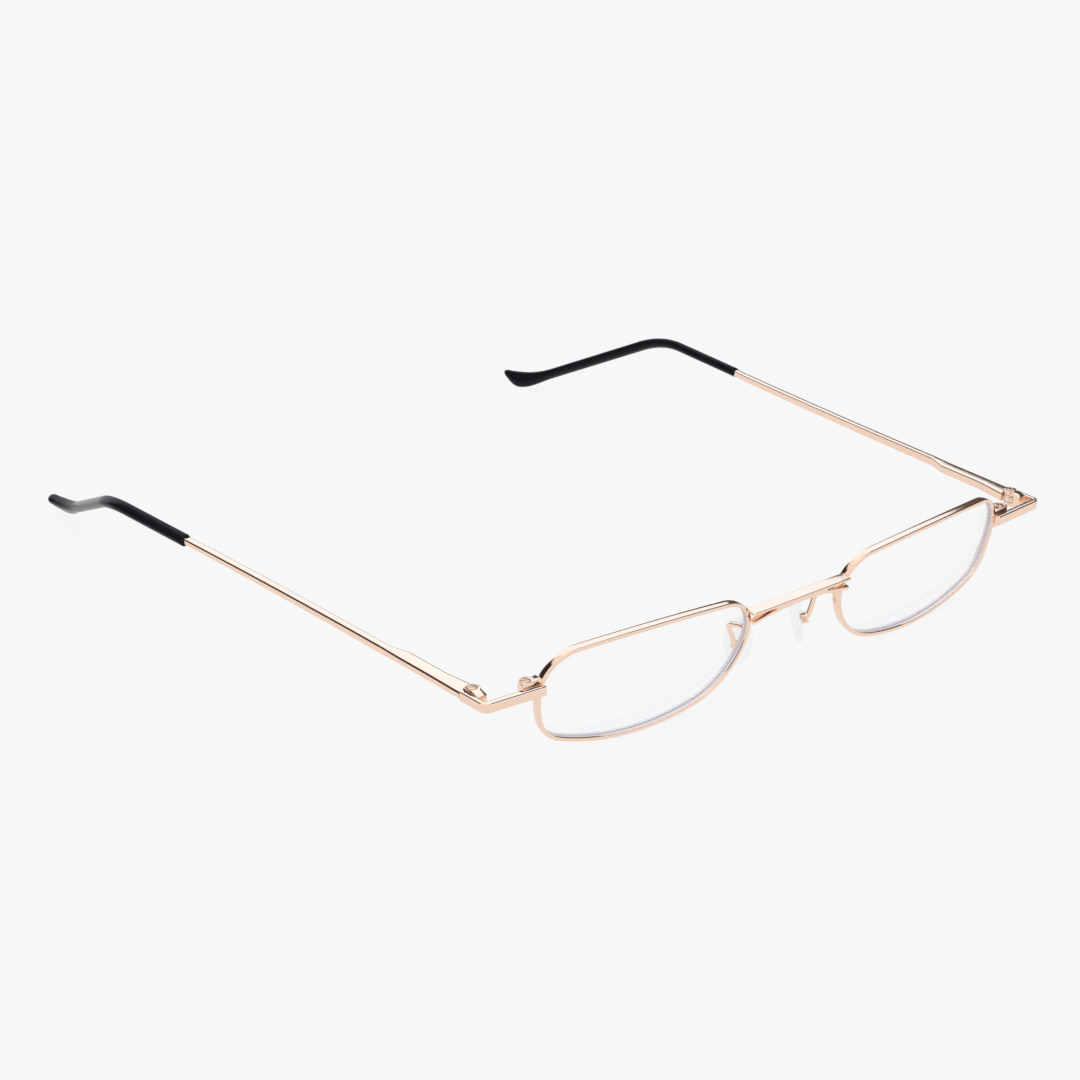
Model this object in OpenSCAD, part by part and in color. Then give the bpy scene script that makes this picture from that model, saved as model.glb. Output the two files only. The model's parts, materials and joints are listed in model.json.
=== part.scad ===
// Reading glasses: slim metal rims, sprung hinges and plastic temple tips.
// +X is the wearer's left, +Y runs from the lenses to the ears and +Z is up.
// They stand open on a table, on the rims and on the lower of the two tips.
// The origin is on the table, under the middle of the part.

/* [Front] */
// Width over the outer faces of the endpieces
front_w = 132.7; // [128:0.1:140]
// Gap between the two rims at the nose
rim_gap = 21.4; // [19:0.1:24]
// Forward tilt of the rims, top ahead of bottom, in degrees
rim_tilt = 9.1; // [5:0.1:12]
// Turn of each rim round its upright, outer side swept back, in degrees
rim_wrap = 4.7; // [2:0.1:6]
// Depth of the rims' middle below the endpieces' virtual corner level
rim_drop = 4.9; // [4:0.1:6]
// Distance of the rims' middle in front of the endpieces' corners
rim_ahead = 2.2; // [1.6:0.1:2.6]

/* [Rims and lenses] */
// Width of one rim over the outside
rim_w = 44.2; // [42:0.1:46]
// Height of one rim over the outside
rim_h = 21.3; // [19:0.1:24]
// Thickness of the rim wire seen from the front
rim_t = 0.75; // [0.65:0.05:1]
// Depth of the rim wire from front to back
rim_d = 1.6; // [1.5:0.1:2.4]
// Radius of the base curve that the rims follow
base_r = 205; // [150:5:400]
// Radius of the upper edge of a rim
top_r = 177; // [120:1:250]
// Radius of the outer edge of a rim
outer_r = 21; // [19:0.5:24]
// Radius of the lower edge of a rim
bottom_r = 50.3; // [44:0.1:60]
// Radius of the nose edge of a rim, round to the lower edge
nose_r = 14.1; // [13:0.1:16]
// Corner radius between the upper and outer edges
corner_top_outer = 7.4; // [6:0.1:8]
// Corner radius between the outer and lower edges
corner_bottom_outer = 7.6; // [6:0.1:8]
// Corner radius between the nose and upper edges
corner_top_nose = 7.1; // [6:0.1:8]
// Depth of the groove that holds the lens
groove = 0.38; // [0.3:0.02:0.45]
// Width of the groove
groove_w = 0.6; // [0.4:0.05:0.8]
// Clearance of the lens in its rim
lens_play = 0.03; // [0.01:0.01:0.06]
// Radius of the front surface of a lens
lens_front_r = 160; // [140:5:200]
// Radius of the back surface of a lens
lens_back_r = 300; // [250:10:400]
// Thickness of a lens at its middle
lens_t = 1.8; // [1.6:0.1:1.9]

/* [Bridge] */
// Reach of the bridge from the middle to the end of its upper prongs
bridge_reach = 11.75; // [11.5:0.05:12.2]
// Height of the bridge's upper edge over the endpieces' corner level
bridge_top = 1.6; // [1:0.1:2.5]
// Height of the bridge at its middle
bridge_mid_h = 1.1; // [0.9:0.05:1.5]
// Rise of the arch under the bridge
bridge_rise = 1.15; // [0.8:0.05:1.4]
// Depth of the bridge from front to back
bridge_d = 2.1; // [1.9:0.1:2.4]
// Distance from the bridge's front to the endpieces' corners
bridge_ahead = 4.8; // [4.6:0.05:5.1]
// Thickness of the upper prong of each fork
prong_top_t = 0.5; // [0.4:0.05:0.7]
// Thickness of the lower prong of each fork
prong_low_t = 0.6; // [0.4:0.05:0.7]
// Distance from the middle to the root of each fork
fork_root = 6; // [5:0.1:7]

/* [Endpieces and rim locks] */
// Height of the endpieces and of the temples at the hinge
bar_h = 1.8; // [1.7:0.05:2.2]
// Thickness of the endpiece's front leg
endpiece_t = 1.35; // [1.2:0.05:1.5]
// Thickness of the endpiece's outer leg
leg_t = 1; // [0.9:0.05:1.1]
// Radius of the endpiece's outer corner
corner_r = 1.6; // [1:0.1:2]
// Thickness of the endpiece that stands ahead of the rim
lap_t = 1.45; // [1.3:0.05:1.5]
// Width of the rim that the endpiece covers
lap_w = 0.5; // [0.3:0.05:0.65]
// Length of the rim lock from the rim outwards
lock_w = 3.1; // [2.8:0.1:3.6]
// Height of the closed rim lock
lock_h = 3.9; // [3.4:0.1:4.4]
// Height of the rim lock over the endpiece's top
lock_proud = 0.8; // [0.4:0.1:1]
// Gap between the halves of the rim lock
lock_gap = 0.12; // [0.08:0.01:0.2]
// Diameter of the rim lock screw
lock_screw_d = 1; // [0.8:0.05:1.2]
// Diameter of the rim lock screw's head
lock_head_d = 1.7; // [1.5:0.05:1.8]

/* [Hinges] */
// Distance of the hinge axis behind the endpiece's corner
hinge_y = 5.14; // [4.6:0.02:6]
// Distance of the hinge axis inside the outer face
hinge_in = 1.86; // [1.8:0.01:1.95]
// Radius of the knuckles
knuckle_r = 1.35; // [1.25:0.05:1.4]
// Height of the middle knuckle
eye_h = 1.3; // [1.1:0.05:1.5]
// Height of each outer knuckle
ear_h = 0.75; // [0.65:0.05:0.9]
// Gap between two knuckles
ear_gap = 0.05; // [0.03:0.01:0.1]
// Diameter of the hinge screw
hinge_screw_d = 1.2; // [1:0.05:1.3]
// Diameter of the hinge screw's head
hinge_head_d = 1.8; // [1.6:0.05:1.9]
// Radial clearance of the pins and rods that turn or slide
run_play = 0.03; // [0.02:0.005:0.05]
// Lean of the hinge axes, so that the folded temples pass each other, in degrees
hinge_lean = 1.2; // [0.8:0.1:1.6]
// Travel of the spring hinge
spring_travel = 1.5; // [1:0.1:1.6]
// Distance of the housing's front behind the hinge axis
hinge_gap = 1.1; // [1.05:0.05:1.3]

/* [Spring housings] */
// Thickness of bar and housing together, beside the knuckles
housing_front_t = 3.4; // [3.3:0.05:3.6]
// Thickness of bar and housing together, along the spring
housing_t = 2.65; // [2.6:0.05:2.9]
// Distance from the hinge axis to the end of the housing
housing_len = 20.4; // [19.5:0.1:24]
// Diameter of the bore in the housing
spring_bore_d = 1; // [0.95:0.01:1.05]
// Diameter of the slider's shank in the bore
shank_d = 0.92; // [0.88:0.01:0.93]
// Length of the shank that stays in the housing when the spring is drawn out
shank_grip = 5.76; // [5.4:0.02:6]
// Diameter of the rod that carries the spring
rod_d = 0.5; // [0.4:0.01:0.52]
// Length of the bush that the spring pushes on
bush_len = 1.4; // [1:0.1:1.6]
// Length left to the spring when it is drawn out
spring_shut = 3.8; // [3.5:0.1:4.1]
// Number of turns of the spring
spring_turns = 7; // [5:1:8]
// Diameter of the spring wire
spring_wire_d = 0.16; // [0.12:0.01:0.17]
// Length of the nut on the end of the rod
nut_len = 1; // [0.8:0.1:1.2]

/* [Temples] */
// Distance from the endpiece's corner to the end of the flat bar
bar_end = 81.5; // [75:0.5:90]
// Thickness of the bar behind the housing
bar_t = 1.5; // [1.4:0.05:1.6]
// Outward bow of the bar at its end
bar_bow = 1.5; // [0.5:0.1:2]
// Diameter of the core wire and of the bar's end
core_d = 1.15; // [1.05:0.05:1.25]
// Length of the core wire behind the bend
core_run = 14; // [8:1:20]
// Outward direction of the left tip at its start, in degrees
tip_toe_left = 3.2; // [1:0.1:4]
// Outward direction of the right tip at its start, in degrees
tip_toe_right = 1.6; // [1:0.1:4]
// Lean of the left tip's bends from upright, inwards, in degrees
tip_lean_left = 31.5; // [28:0.1:42]
// Lean of the right tip's bends from upright, inwards, in degrees
tip_lean_right = 38; // [28:0.1:42]
// Distance from the start of the tip to its first bend
tip_straight = 23.6; // [20:0.1:28]
// Distance along the tip between its two bends
tip_drop = 38.2; // [34:0.1:42]
// Length of the tip behind its second bend
toe_len = 0.2; // [0.1:0.1:2]
// Angle of the first bend
tip_bend = 32.1; // [28:0.1:36]
// Angle of the second bend
heel_bend = 30.1; // [26:0.1:36]
// Radius of the first bend
bend_r = 20.5; // [15:0.5:24]
// Radius of the second bend
heel_r = 29.5; // [22:0.5:34]
// Thickness of the tip in the plane of its bends
tip_h = 1.85; // [1.8:0.05:2.2]
// Thickness of the tip across that plane
tip_t = 2.35; // [2.2:0.05:2.7]
// Thickness of the heel in the plane of the bends
heel_h = 3.4; // [2.8:0.1:3.8]
// Distance from the thickest part of the heel to the end of the tip
heel_back = 5.8; // [5:0.1:7]
// Distance over which the tip thickens towards the heel
swell_len = 9.4; // [7:0.1:12]

/* [Nose pads] */
// Distance of a pad's middle from the middle of the nose
pad_x = 6.9; // [6.5:0.1:7.5]
// Distance of a pad's middle behind the endpieces' corners
pad_y = 3.2; // [2.8:0.1:3.6]
// Depth of a pad's middle below the endpieces' corner level
pad_drop = 7.9; // [7.5:0.1:8.5]
// Length of a pad
pad_l = 9; // [8:0.1:10]
// Width of a pad
pad_w = 5; // [4.4:0.1:5.6]
// Thickness of a pad at its middle
pad_t = 1.2; // [1.1:0.05:1.4]
// Turn of a pad round its upright, in degrees
pad_splay = 28; // [20:1:34]
// Lean of a pad, lower end outwards, in degrees
pad_flare = 5; // [0:1:10]
// Diameter of the pad arm's wire
arm_d = 0.9; // [0.8:0.05:1]
// Diameter of the pad screw
pad_screw_d = 0.8; // [0.7:0.05:0.9]

/* [Hidden] */

gold = [0.91, 0.74, 0.63];
gold_dark = [0.78, 0.6, 0.5];
steel = [0.75, 0.75, 0.77];
black = [0.07, 0.08, 0.11];
clear = [0.85, 0.92, 0.95, 0.35];

round_fn = 48;
wire_fn = 24;
curve_fn = 720;
lens_fn = 300;
far = 60;

// Rounded outline of a rim: four long arcs and three corners that meet tangentially
half_w = rim_w / 2;
half_h = rim_h / 2;
apex_top_x = -0.3;
apex_outer_z = 2.7;
apex_bottom_x = 0.8;
nose_out = 0.2;
c_outer = [half_w - outer_r, apex_outer_z];
c_top = [apex_top_x, half_h - top_r];
c_bottom = [apex_bottom_x, bottom_r - half_h];
nose_cx = nose_r - half_w - nose_out;
c_nose = [nose_cx, c_bottom[1] - sqrt(pow(bottom_r - nose_r, 2) - pow(nose_cx - apex_bottom_x, 2))];

// Centre of the corner between two long arcs a and b, met in turn anticlockwise
function corner_at(a, ra, b, rb, r) =
    let (ab = b - a, d = norm(ab), e = ab / d)
    let (x = (d * d + (ra - r) * (ra - r) - (rb - r) * (rb - r)) / (2 * d))
    let (h = sqrt((ra - r) * (ra - r) - x * x))
    a + x * e + h * [-e[1], e[0]];
function heading(from, to) = atan2(to[1] - from[1], to[0] - from[0]);
function ahead_of(a, b) = b < a ? ahead_of(a, b + 360) : b;
function arc(c, r, a0, a1, n) =
    [for (i = [0 : n - 1]) c + r * [cos(a0 + (a1 - a0) * i / n), sin(a0 + (a1 - a0) * i / n)]];

k_top_outer = corner_at(c_outer, outer_r, c_top, top_r, corner_top_outer);
k_top_nose = corner_at(c_top, top_r, c_nose, nose_r, corner_top_nose);
k_bottom_outer = corner_at(c_bottom, bottom_r, c_outer, outer_r, corner_bottom_outer);

// Outline of the rim, moved inwards by inset
function rim_outline(inset) =
    let (a0 = heading(c_outer, k_bottom_outer), a1 = ahead_of(a0, heading(c_outer, k_top_outer)))
    let (a2 = ahead_of(a1, heading(c_top, k_top_outer)), a3 = ahead_of(a2, heading(c_top, k_top_nose)))
    let (a4 = ahead_of(a3, heading(c_nose, k_top_nose)), a5 = ahead_of(a4, heading(c_bottom, c_nose)))
    let (a6 = ahead_of(a5, heading(c_bottom, k_bottom_outer)))
    concat(
        arc(c_outer, outer_r - inset, a0, a1, 5),
        arc(k_top_outer, corner_top_outer - inset, a1, a2, 9),
        arc(c_top, top_r - inset, a2, a3, 9),
        arc(k_top_nose, corner_top_nose - inset, a3, a4, 9),
        arc(c_nose, nose_r - inset, a4, a5, 14),
        arc(c_bottom, bottom_r - inset, a5, a6, 12),
        arc(k_bottom_outer, corner_bottom_outer - inset, a6, a0 + 360, 9));

// Places of the rim in the front
rim_x = rim_gap / 2 + half_w * cos(rim_wrap);
rim_edge_x = rim_x + half_w * cos(rim_wrap);
rim_sag = half_w * half_w / (2 * base_r);
rim_edge_y = half_w * sin(rim_wrap) + rim_sag - rim_ahead;
groove_at = rim_d / 2 - groove_w / 2;

// Endpiece and bar levels: bar_mid is the middle of the bar's height at the hinge
bar_top = 0.1;
bar_mid = bar_top - bar_h / 2;
side_x = front_w / 2;
end_x = rim_edge_x - lap_w;
end_y = rim_edge_y - (bar_mid + rim_drop) * tan(rim_tilt) - lap_t;
corner_y = -0.35;
leg_behind = 0.86;
leg_end = hinge_y + leg_behind;
sweep = atan2(corner_y - end_y, side_x - end_x);
leg_in = side_x - leg_t;
function front_face_y(x) = end_y + (x - end_x) * tan(sweep);
function back_face_y(x) = front_face_y(x) + endpiece_t / cos(sweep);

// Rim lock
split_z = bar_mid - 0.1;
slit_in = 2;
lock_top = bar_top + lock_proud;
lock_low = lock_top - lock_h;
lock_round = 1.25;
lock_x = end_x + lap_w + lock_w - lock_round;
lock_screw_in = 1.05;
lock_y = back_face_y(lock_x) + lock_screw_in;
screw_short = 0.2;
lock_screw_low = lock_low + screw_short;
lock_screw_turn = 25;
head_sink = 0.35;
head_t = 0.42;
slot_w = 0.28;
slot_deep = 0.22;
head_play = 0.05;

// Hinge
hinge_x = side_x - hinge_in;
hinge_at = [hinge_x, hinge_y, bar_mid];
hinge_h = eye_h + 2 * ear_gap + 2 * ear_h;
relief_r = knuckle_r + 0.15;
leaf_in = 0.89;
leaf_front = 2.7;
seam = 0.1;
bar_start = leg_end + seam;
housing_start = hinge_y + hinge_gap;
hinge_screw_turn = 35;
housing_end = hinge_y + housing_len;
shank_end = housing_start + spring_travel + shank_grip;
bush_gap = 0.3;
bush_start = shank_end + bush_gap;
spring_start = bush_start + bush_len;
spring_len = spring_shut + spring_travel;
nut_start = spring_start + spring_len;
nut_end = nut_start + nut_len;
nut_wall = 0.2;
rod_end = nut_end - nut_wall;
bore_rest = 0.4;
bore_end = nut_end + bore_rest;
ramp_start = bore_end;
dimple_r = 0.6;
dimple_deep = 0.15;
fit_play = 0.01;

// Temple bar: outer face bowed by a parabola that starts beside the spring
bow_start = shank_end;
bow_steps = 18;
function bar_outer_x(y) =
    side_x + (y > bow_start ? bar_bow * pow((y - bow_start) / (bar_end - bow_start), 2) : 0);
neck_len = 3;
neck_t = core_d + 0.12;
function bar_thick(y) =
    y < bar_end - neck_len ? bar_t : neck_t + (bar_t - neck_t) * (bar_end - y) / neck_len;
tip_start = [bar_outer_x(bar_end) - neck_t / 2, bar_end, 0];

// Route of the tip in its own plane: along +Y, with its bends towards -Z and back
t1 = bend_r * tan(tip_bend / 2);
t2 = heel_r * tan(heel_bend / 2);
s1 = tip_straight - t1;
s2 = s1 + bend_r * tip_bend * PI / 180;
s3 = s2 + tip_drop - t1 - t2;
s4 = s3 + heel_r * heel_bend * PI / 180;
s5 = s4 + toe_len;
toe_angle = tip_bend - heel_bend;
p2 = [s1 + bend_r * sin(tip_bend), -bend_r * (1 - cos(tip_bend))];
p3 = p2 + (s3 - s2) * [cos(tip_bend), -sin(tip_bend)];
p4 = p3 + heel_r * [sin(tip_bend) - sin(toe_angle), cos(tip_bend) - cos(toe_angle)];
function tip_angle(s) =
    s < s1 ? 0 : s < s2 ? (s - s1) / bend_r * 180 / PI
    : s < s3 ? tip_bend : s < s4 ? tip_bend - (s - s3) / heel_r * 180 / PI : toe_angle;
function tip_point(s) =
    let (a = tip_angle(s))
    s < s1 ? [s, 0]
    : s < s2 ? [s1 + bend_r * sin(a), -bend_r * (1 - cos(a))]
    : s < s3 ? p2 + (s - s2) * [cos(tip_bend), -sin(tip_bend)]
    : s < s4 ? p3 + heel_r * [sin(tip_bend) - sin(a), cos(tip_bend) - cos(a)]
    : p4 + (s - s4) * [cos(toe_angle), -sin(toe_angle)];

// Section of the tip at distance s: half heights below and above, and what is left of it at the ends
heel_s = s5 - heel_back;
heel_from = heel_s - swell_len;
end_low = 0.3;
end_high = 0.45;
nose_len = 2;
rim_chamfer = 0.35;
chamfer_share = 0.8;
function swell(s) =
    s < heel_from ? tip_h / 2
    : s < heel_s ? tip_h / 2 + (heel_h - tip_h) * pow(cos((heel_s - s) / swell_len * 90), 2)
    : end_low + (heel_h - tip_h / 2 - end_low) * pow(cos((s - heel_s) / heel_back * 90), 2);
function crest(s) = s < heel_s ? tip_h / 2 : tip_h / 2 + (end_high - tip_h / 2) * (s - heel_s) / heel_back;
function nose(s) = s < s5 - nose_len ? 1 : sqrt(max(0, 1 - pow((s - s5 + nose_len) / nose_len, 2)));
function chamfer(s) = s < rim_chamfer ? chamfer_share + (1 - chamfer_share) * s / rim_chamfer : 1;

ring_sides = 16;
tip_rings = concat(
    [0, rim_chamfer, s1 / 2],
    [for (i = [0 : 8]) s1 + (s2 - s1) * i / 8],
    [(s2 + heel_from) / 2],
    [for (i = [0 : 12]) heel_from + (s5 - nose_len - heel_from) * i / 12],
    [for (a = [22.5, 45, 67.5, 78]) s5 - nose_len + nose_len * sin(a)]);
function squircle(c) = sign(c) * pow(abs(c), 0.8);
function ring_point(s, j) =
    let (a = 360 * j / ring_sides, f = nose(s) * chamfer(s), up = squircle(sin(a)), side = squircle(cos(a)))
    let (v = f * up * (up > 0 ? crest(s) : swell(s)), w = f * side * tip_t / 2, t = tip_angle(s))
    [w, tip_point(s)[0] + v * sin(t), tip_point(s)[1] + v * cos(t)];
tip_points = [for (s = tip_rings) for (j = [0 : ring_sides - 1]) ring_point(s, j)];

// The tip's points in the frame of the front, to find where the glasses stand
function lean_about_y(p, a) = [p[0] * cos(a) + p[2] * sin(a), p[1], p[2] * cos(a) - p[0] * sin(a)];
function turn_about_z(p, a) = [p[0] * cos(a) - p[1] * sin(a), p[0] * sin(a) + p[1] * cos(a), p[2]];
function tilt_about_x(p, a) = [p[0], p[1] * cos(a) - p[2] * sin(a), p[1] * sin(a) + p[2] * cos(a)];
turn_left = [tip_toe_left, tip_lean_left];
turn_right = [tip_toe_right, tip_lean_right];
function place_tip(turn) = [for (p = tip_points) tip_start + turn_about_z(lean_about_y(p, turn[1]), -turn[0])];
placed_tips = concat(place_tip(turn_left), place_tip(turn_right));
function rim_place(u, depth, v) =
    [rim_x, -rim_ahead, -rim_drop] + tilt_about_x(turn_about_z([u, depth, v], rim_wrap), rim_tilt);
placed_rim = [for (p = rim_outline(0)) rim_place(p[0], p[0] * p[0] / (2 * base_r), p[1])];
function lowest(points, a) = min([for (p = points) tilt_about_x(p, a)[2]]);
heel_y = tip_start[1] + p3[0] + heel_h;
stand_len = heel_y + rim_ahead;
tilt_first = atan2(lowest(placed_rim, 0) - lowest(placed_tips, 0), stand_len);
tilt_error = atan2(lowest(placed_rim, tilt_first) - lowest(placed_tips, tilt_first), stand_len);
rest_tilt = tilt_first + tilt_error;
lift = -min(lowest(placed_rim, rest_tilt), lowest(placed_tips, rest_tilt));
back_y = max([for (p = placed_tips) tilt_about_x(p, rest_tilt)[1]]);
front_y = -bridge_ahead * cos(rest_tilt) - bridge_top * sin(rim_tilt + rest_tilt);
y_mid = (back_y + front_y) / 2;

module at_rest() translate([0, -y_mid, lift]) rotate([rest_tilt, 0, 0]) children();
module other_side() mirror([1, 0, 0]) children();
module at_left() at_rest() children();
module at_right() at_rest() other_side() children();

// Rim frame: X outwards, Y back and Z up in the plane of the rim
module in_rim()
    translate([rim_x, -rim_ahead, -rim_drop]) rotate([rim_tilt, 0, 0]) rotate([0, 0, rim_wrap]) children();

prism_back = 6;
prism_front = 3;
module rim_prism(inset)
    translate([0, prism_back, 0]) rotate([90, 0, 0])
        linear_extrude(height = prism_back + prism_front) polygon(rim_outline(inset));

module base_curve(depth)
    translate([0, base_r, 0]) cylinder(r = base_r - depth, h = far, center = true, $fn = curve_fn);

module base_shell(from, to)
    difference() {
        base_curve(from);
        base_curve(to);
    }

// Room that a rim and its lens take, with the room behind it as far as asked
module rim_blank(behind = 0)
    in_rim() intersection() {
        rim_prism(0);
        base_shell(0, rim_d + behind);
    }

module rim()
    difference() {
        in_rim() difference() {
            intersection() {
                difference() {
                    rim_prism(0);
                    rim_prism(rim_t);
                }
                base_shell(0, rim_d);
            }
            intersection() {
                rim_prism(rim_t - groove);
                base_shell(groove_at, groove_at + groove_w);
            }
        }
        translate([rim_edge_x - slit_in, -slit_in, split_z - lock_gap / 2])
            cube([2 * slit_in, 3 * slit_in, lock_gap]);
    }

module lens()
    in_rim() union() {
        difference() {
            intersection() {
                rim_prism(rim_t + lens_play);
                translate([0, lens_front_r, 0]) sphere(r = lens_front_r, $fn = lens_fn);
            }
            translate([0, lens_back_r + lens_t, 0]) sphere(r = lens_back_r, $fn = lens_fn);
        }
        intersection() {
            rim_prism(rim_t - groove + lens_play);
            base_shell(groove_at + lens_play, groove_at + groove_w - lens_play);
        }
    }

// Bridge: straight on top, arched below, with a wedge cut into each end
arch_half = 11;
arch_r = (arch_half * arch_half + bridge_rise * bridge_rise) / (2 * bridge_rise);
bridge_low_mid = bridge_top - bridge_mid_h;
function arch_z(x) = bridge_low_mid - arch_r + sqrt(arch_r * arch_r - x * x);
prong_low_reach = bridge_reach - 0.4;
prong_cut = 0.3;
wedge_open = 0.25;
arch_steps = 12;
bridge_outline = concat(
    [for (i = [-arch_steps : arch_steps]) let (x = i / arch_steps * prong_low_reach) [x, arch_z(x)]],
    [[bridge_reach, bridge_top - prong_cut], [bridge_reach - prong_cut, bridge_top]],
    [[prong_cut - bridge_reach, bridge_top], [-bridge_reach, bridge_top - prong_cut]]);
wedge_low = arch_z(arch_half) + prong_low_t;
wedge_root_z = arch_z(fork_root) + prong_low_t;
module fork_wedge()
    polygon([
        [fork_root, wedge_root_z + wedge_open], [bridge_reach + 1, bridge_top - prong_top_t],
        [bridge_reach + 1, wedge_low], [arch_half, wedge_low], [fork_root, wedge_root_z]]);

module bridge_bar()
    translate([0, -bridge_ahead, 0]) rotate([rim_tilt, 0, 0]) translate([0, bridge_d, 0])
        rotate([90, 0, 0]) linear_extrude(height = bridge_d) difference() {
            polygon(bridge_outline);
            fork_wedge();
            mirror([1, 0]) fork_wedge();
        }

module bridge_solid()
    difference() {
        bridge_bar();
        rim_blank();
        other_side() rim_blank();
    }

// Endpiece in plan: front leg, rounded outer corner and outer leg
endpiece_plan = concat(
    [[end_x, end_y]],
    arc([side_x - corner_r, front_face_y(side_x - corner_r) + corner_r / cos(sweep)],
        corner_r, sweep - 90, 0, 12),
    [[side_x, leg_end], [leg_in, leg_end], [leg_in, back_face_y(leg_in)], [end_x, back_face_y(end_x)]]);

module in_hinge(lean) translate(hinge_at) rotate([0, lean, 0]) children();
module hinge_round(r, h) cylinder(r = r, h = h, center = true, $fn = round_fn);

module endpiece(lean)
    difference() {
        translate([0, 0, bar_top - bar_h]) linear_extrude(height = bar_h) polygon(endpiece_plan);
        rim_blank();
        in_hinge(lean) hinge_round(relief_r, eye_h + 2 * ear_gap);
    }

// Rim lock: a block behind the endpiece, rounded about its screw
lock_in_x = end_x - 0.3;
lock_out_x = lock_x + lock_round;
lock_slope = 0.6;
lock_clear = 2;
module lock_plan()
    difference() {
        union() {
            polygon([
                [lock_in_x, end_y], [lock_out_x, end_y],
                [lock_out_x, lock_y], [lock_in_x, lock_y + lock_slope]]);
            translate([lock_x, lock_y]) circle(r = lock_round, $fn = round_fn);
        }
        polygon([
            [lock_in_x - 1, front_face_y(lock_in_x - 2)], [side_x, front_face_y(side_x) - 1],
            [side_x, back_face_y(side_x)], [lock_in_x - 1, back_face_y(lock_in_x - 1)]]);
    }

module lock_block(low, high)
    difference() {
        translate([0, 0, low]) linear_extrude(height = high - low) lock_plan();
        rim_blank(lock_clear);
        translate([lock_x, lock_y, low - 1])
            cylinder(d = lock_screw_d + 2 * run_play, h = high - low + 2, $fn = wire_fn);
    }

module rim_lock_upper()
    difference() {
        lock_block(split_z + lock_gap / 2, lock_top);
        translate([lock_x, lock_y, lock_top - head_sink])
            cylinder(d = lock_head_d + 2 * head_play, h = 1, $fn = wire_fn);
    }

module rim_lock_lower() lock_block(lock_low, split_z - lock_gap / 2);

// Slotted screw with its head's seat at z = 0
module slotted_screw(head_d, shank_diameter, shank_long)
    difference() {
        union() {
            cylinder(d = head_d, h = head_t, $fn = wire_fn);
            translate([0, 0, -shank_long]) cylinder(d = shank_diameter, h = shank_long + 0.1, $fn = wire_fn);
        }
        translate([-head_d, -slot_w / 2, head_t - slot_deep]) cube([2 * head_d, slot_w, 1]);
    }

module rim_lock_screw()
    translate([lock_x, lock_y, lock_top - head_sink]) rotate([0, 0, lock_screw_turn])
        slotted_screw(lock_head_d, lock_screw_d, lock_top - head_sink - lock_screw_low);

// Hinge leaf: two knuckles joined by a block that seats on the endpiece's outer leg
module hinge_leaf(lean)
    intersection() {
        in_hinge(lean) difference() {
            union() {
                hinge_round(knuckle_r, hinge_h);
                translate([-leaf_in, -leaf_front, -hinge_h / 2])
                    cube([leaf_in + hinge_in, leaf_front, hinge_h]);
            }
            hinge_round(relief_r, eye_h + 2 * ear_gap);
            hinge_round(hinge_screw_d / 2 + run_play, hinge_h + 1);
            translate([0, 0, hinge_h / 2 - head_sink])
                cylinder(d = hinge_head_d + 2 * head_play, h = 1, $fn = wire_fn);
        }
        translate([leg_in - far, -far, -far]) cube([far, 2 * far, 2 * far]);
    }

module hinge_screw(lean)
    in_hinge(lean) translate([0, 0, hinge_h / 2 - head_sink]) rotate([0, 0, hinge_screw_turn])
        slotted_screw(hinge_head_d, hinge_screw_d, hinge_h - head_sink - screw_short / 2);

// Parts on the axis of the spring, along Y from the hinge axis
module along_spring(from, to, d)
    translate([hinge_x, from, bar_mid]) rotate([-90, 0, 0]) cylinder(d = d, h = to - from, $fn = wire_fn);

module hinge_slider(lean)
    difference() {
        union() {
            in_hinge(lean) hinge_round(knuckle_r, eye_h);
            along_spring(hinge_y + (knuckle_r + hinge_screw_d / 2) / 2, shank_end, shank_d);
            along_spring(shank_end - seam, rod_end, rod_d);
        }
        in_hinge(lean) hinge_round(hinge_screw_d / 2 + run_play, eye_h + 1);
    }

module spring_ring(from, to, outer, inner)
    difference() {
        along_spring(from, to, outer);
        along_spring(from - 1, to + 1, inner);
    }

module slider_nut()
    difference() {
        along_spring(nut_start, nut_end, shank_d);
        along_spring(nut_start - 1, rod_end, rod_d);
    }

module spring_bush()
    spring_ring(bush_start, spring_start, spring_bore_d - 2 * fit_play, rod_d + 2 * run_play);

// Helix of round wire between the bush and the nut
coil_r = (spring_bore_d - 2 * run_play - spring_wire_d) / 2;
coil_sides = 5;
coil_steps = 12;
coil_last = spring_turns * coil_steps;
coil_end_gap = 0.02;
coil_long = spring_len - spring_wire_d - 2 * coil_end_gap;
function coil_point(i, j) =
    let (a = 360 * i / coil_steps, b = 360 * j / coil_sides, r = coil_r + spring_wire_d / 2 * cos(b))
    let (y = coil_end_gap + spring_wire_d / 2 * (1 + sin(b)) + coil_long * i / coil_last)
    [r * cos(a), y, r * sin(a)];
module hinge_spring()
    translate([hinge_x, spring_start, bar_mid])
        tube(
            [for (i = [0 : coil_last]) for (j = [1 : coil_sides]) coil_point(i, coil_sides - j)],
            coil_sides);

// Closed tube through rings of points, each ring with the same number of sides
module tube(points, sides) {
    rings = len(points) / sides;
    walls = [for (i = [0 : rings - 2]) for (j = [0 : sides - 1])
        let (k = (j + 1) % sides, a = i * sides + j, b = i * sides + k)
        each [[a, b, b + sides], [a, b + sides, a + sides]]];
    first_cap = [for (j = [1 : sides - 2]) [0, j + 1, j]];
    last_cap = [for (j = [1 : sides - 2]) (rings - 1) * sides * [1, 1, 1] + [0, j, j + 1]];
    polyhedron(points, concat(walls, first_cap, last_cap), convexity = 6);
}

// Side view of the bar: a straight taper to its end
module bar_side() {
    end_half = neck_t / 2;
    translate([side_x - far / 2, 0, 0]) rotate([90, 0, 90]) linear_extrude(height = far) polygon([
        [hinge_y, bar_top - bar_h], [bar_end, -end_half], [bar_end, end_half], [hinge_y, bar_top]]);
}

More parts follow.
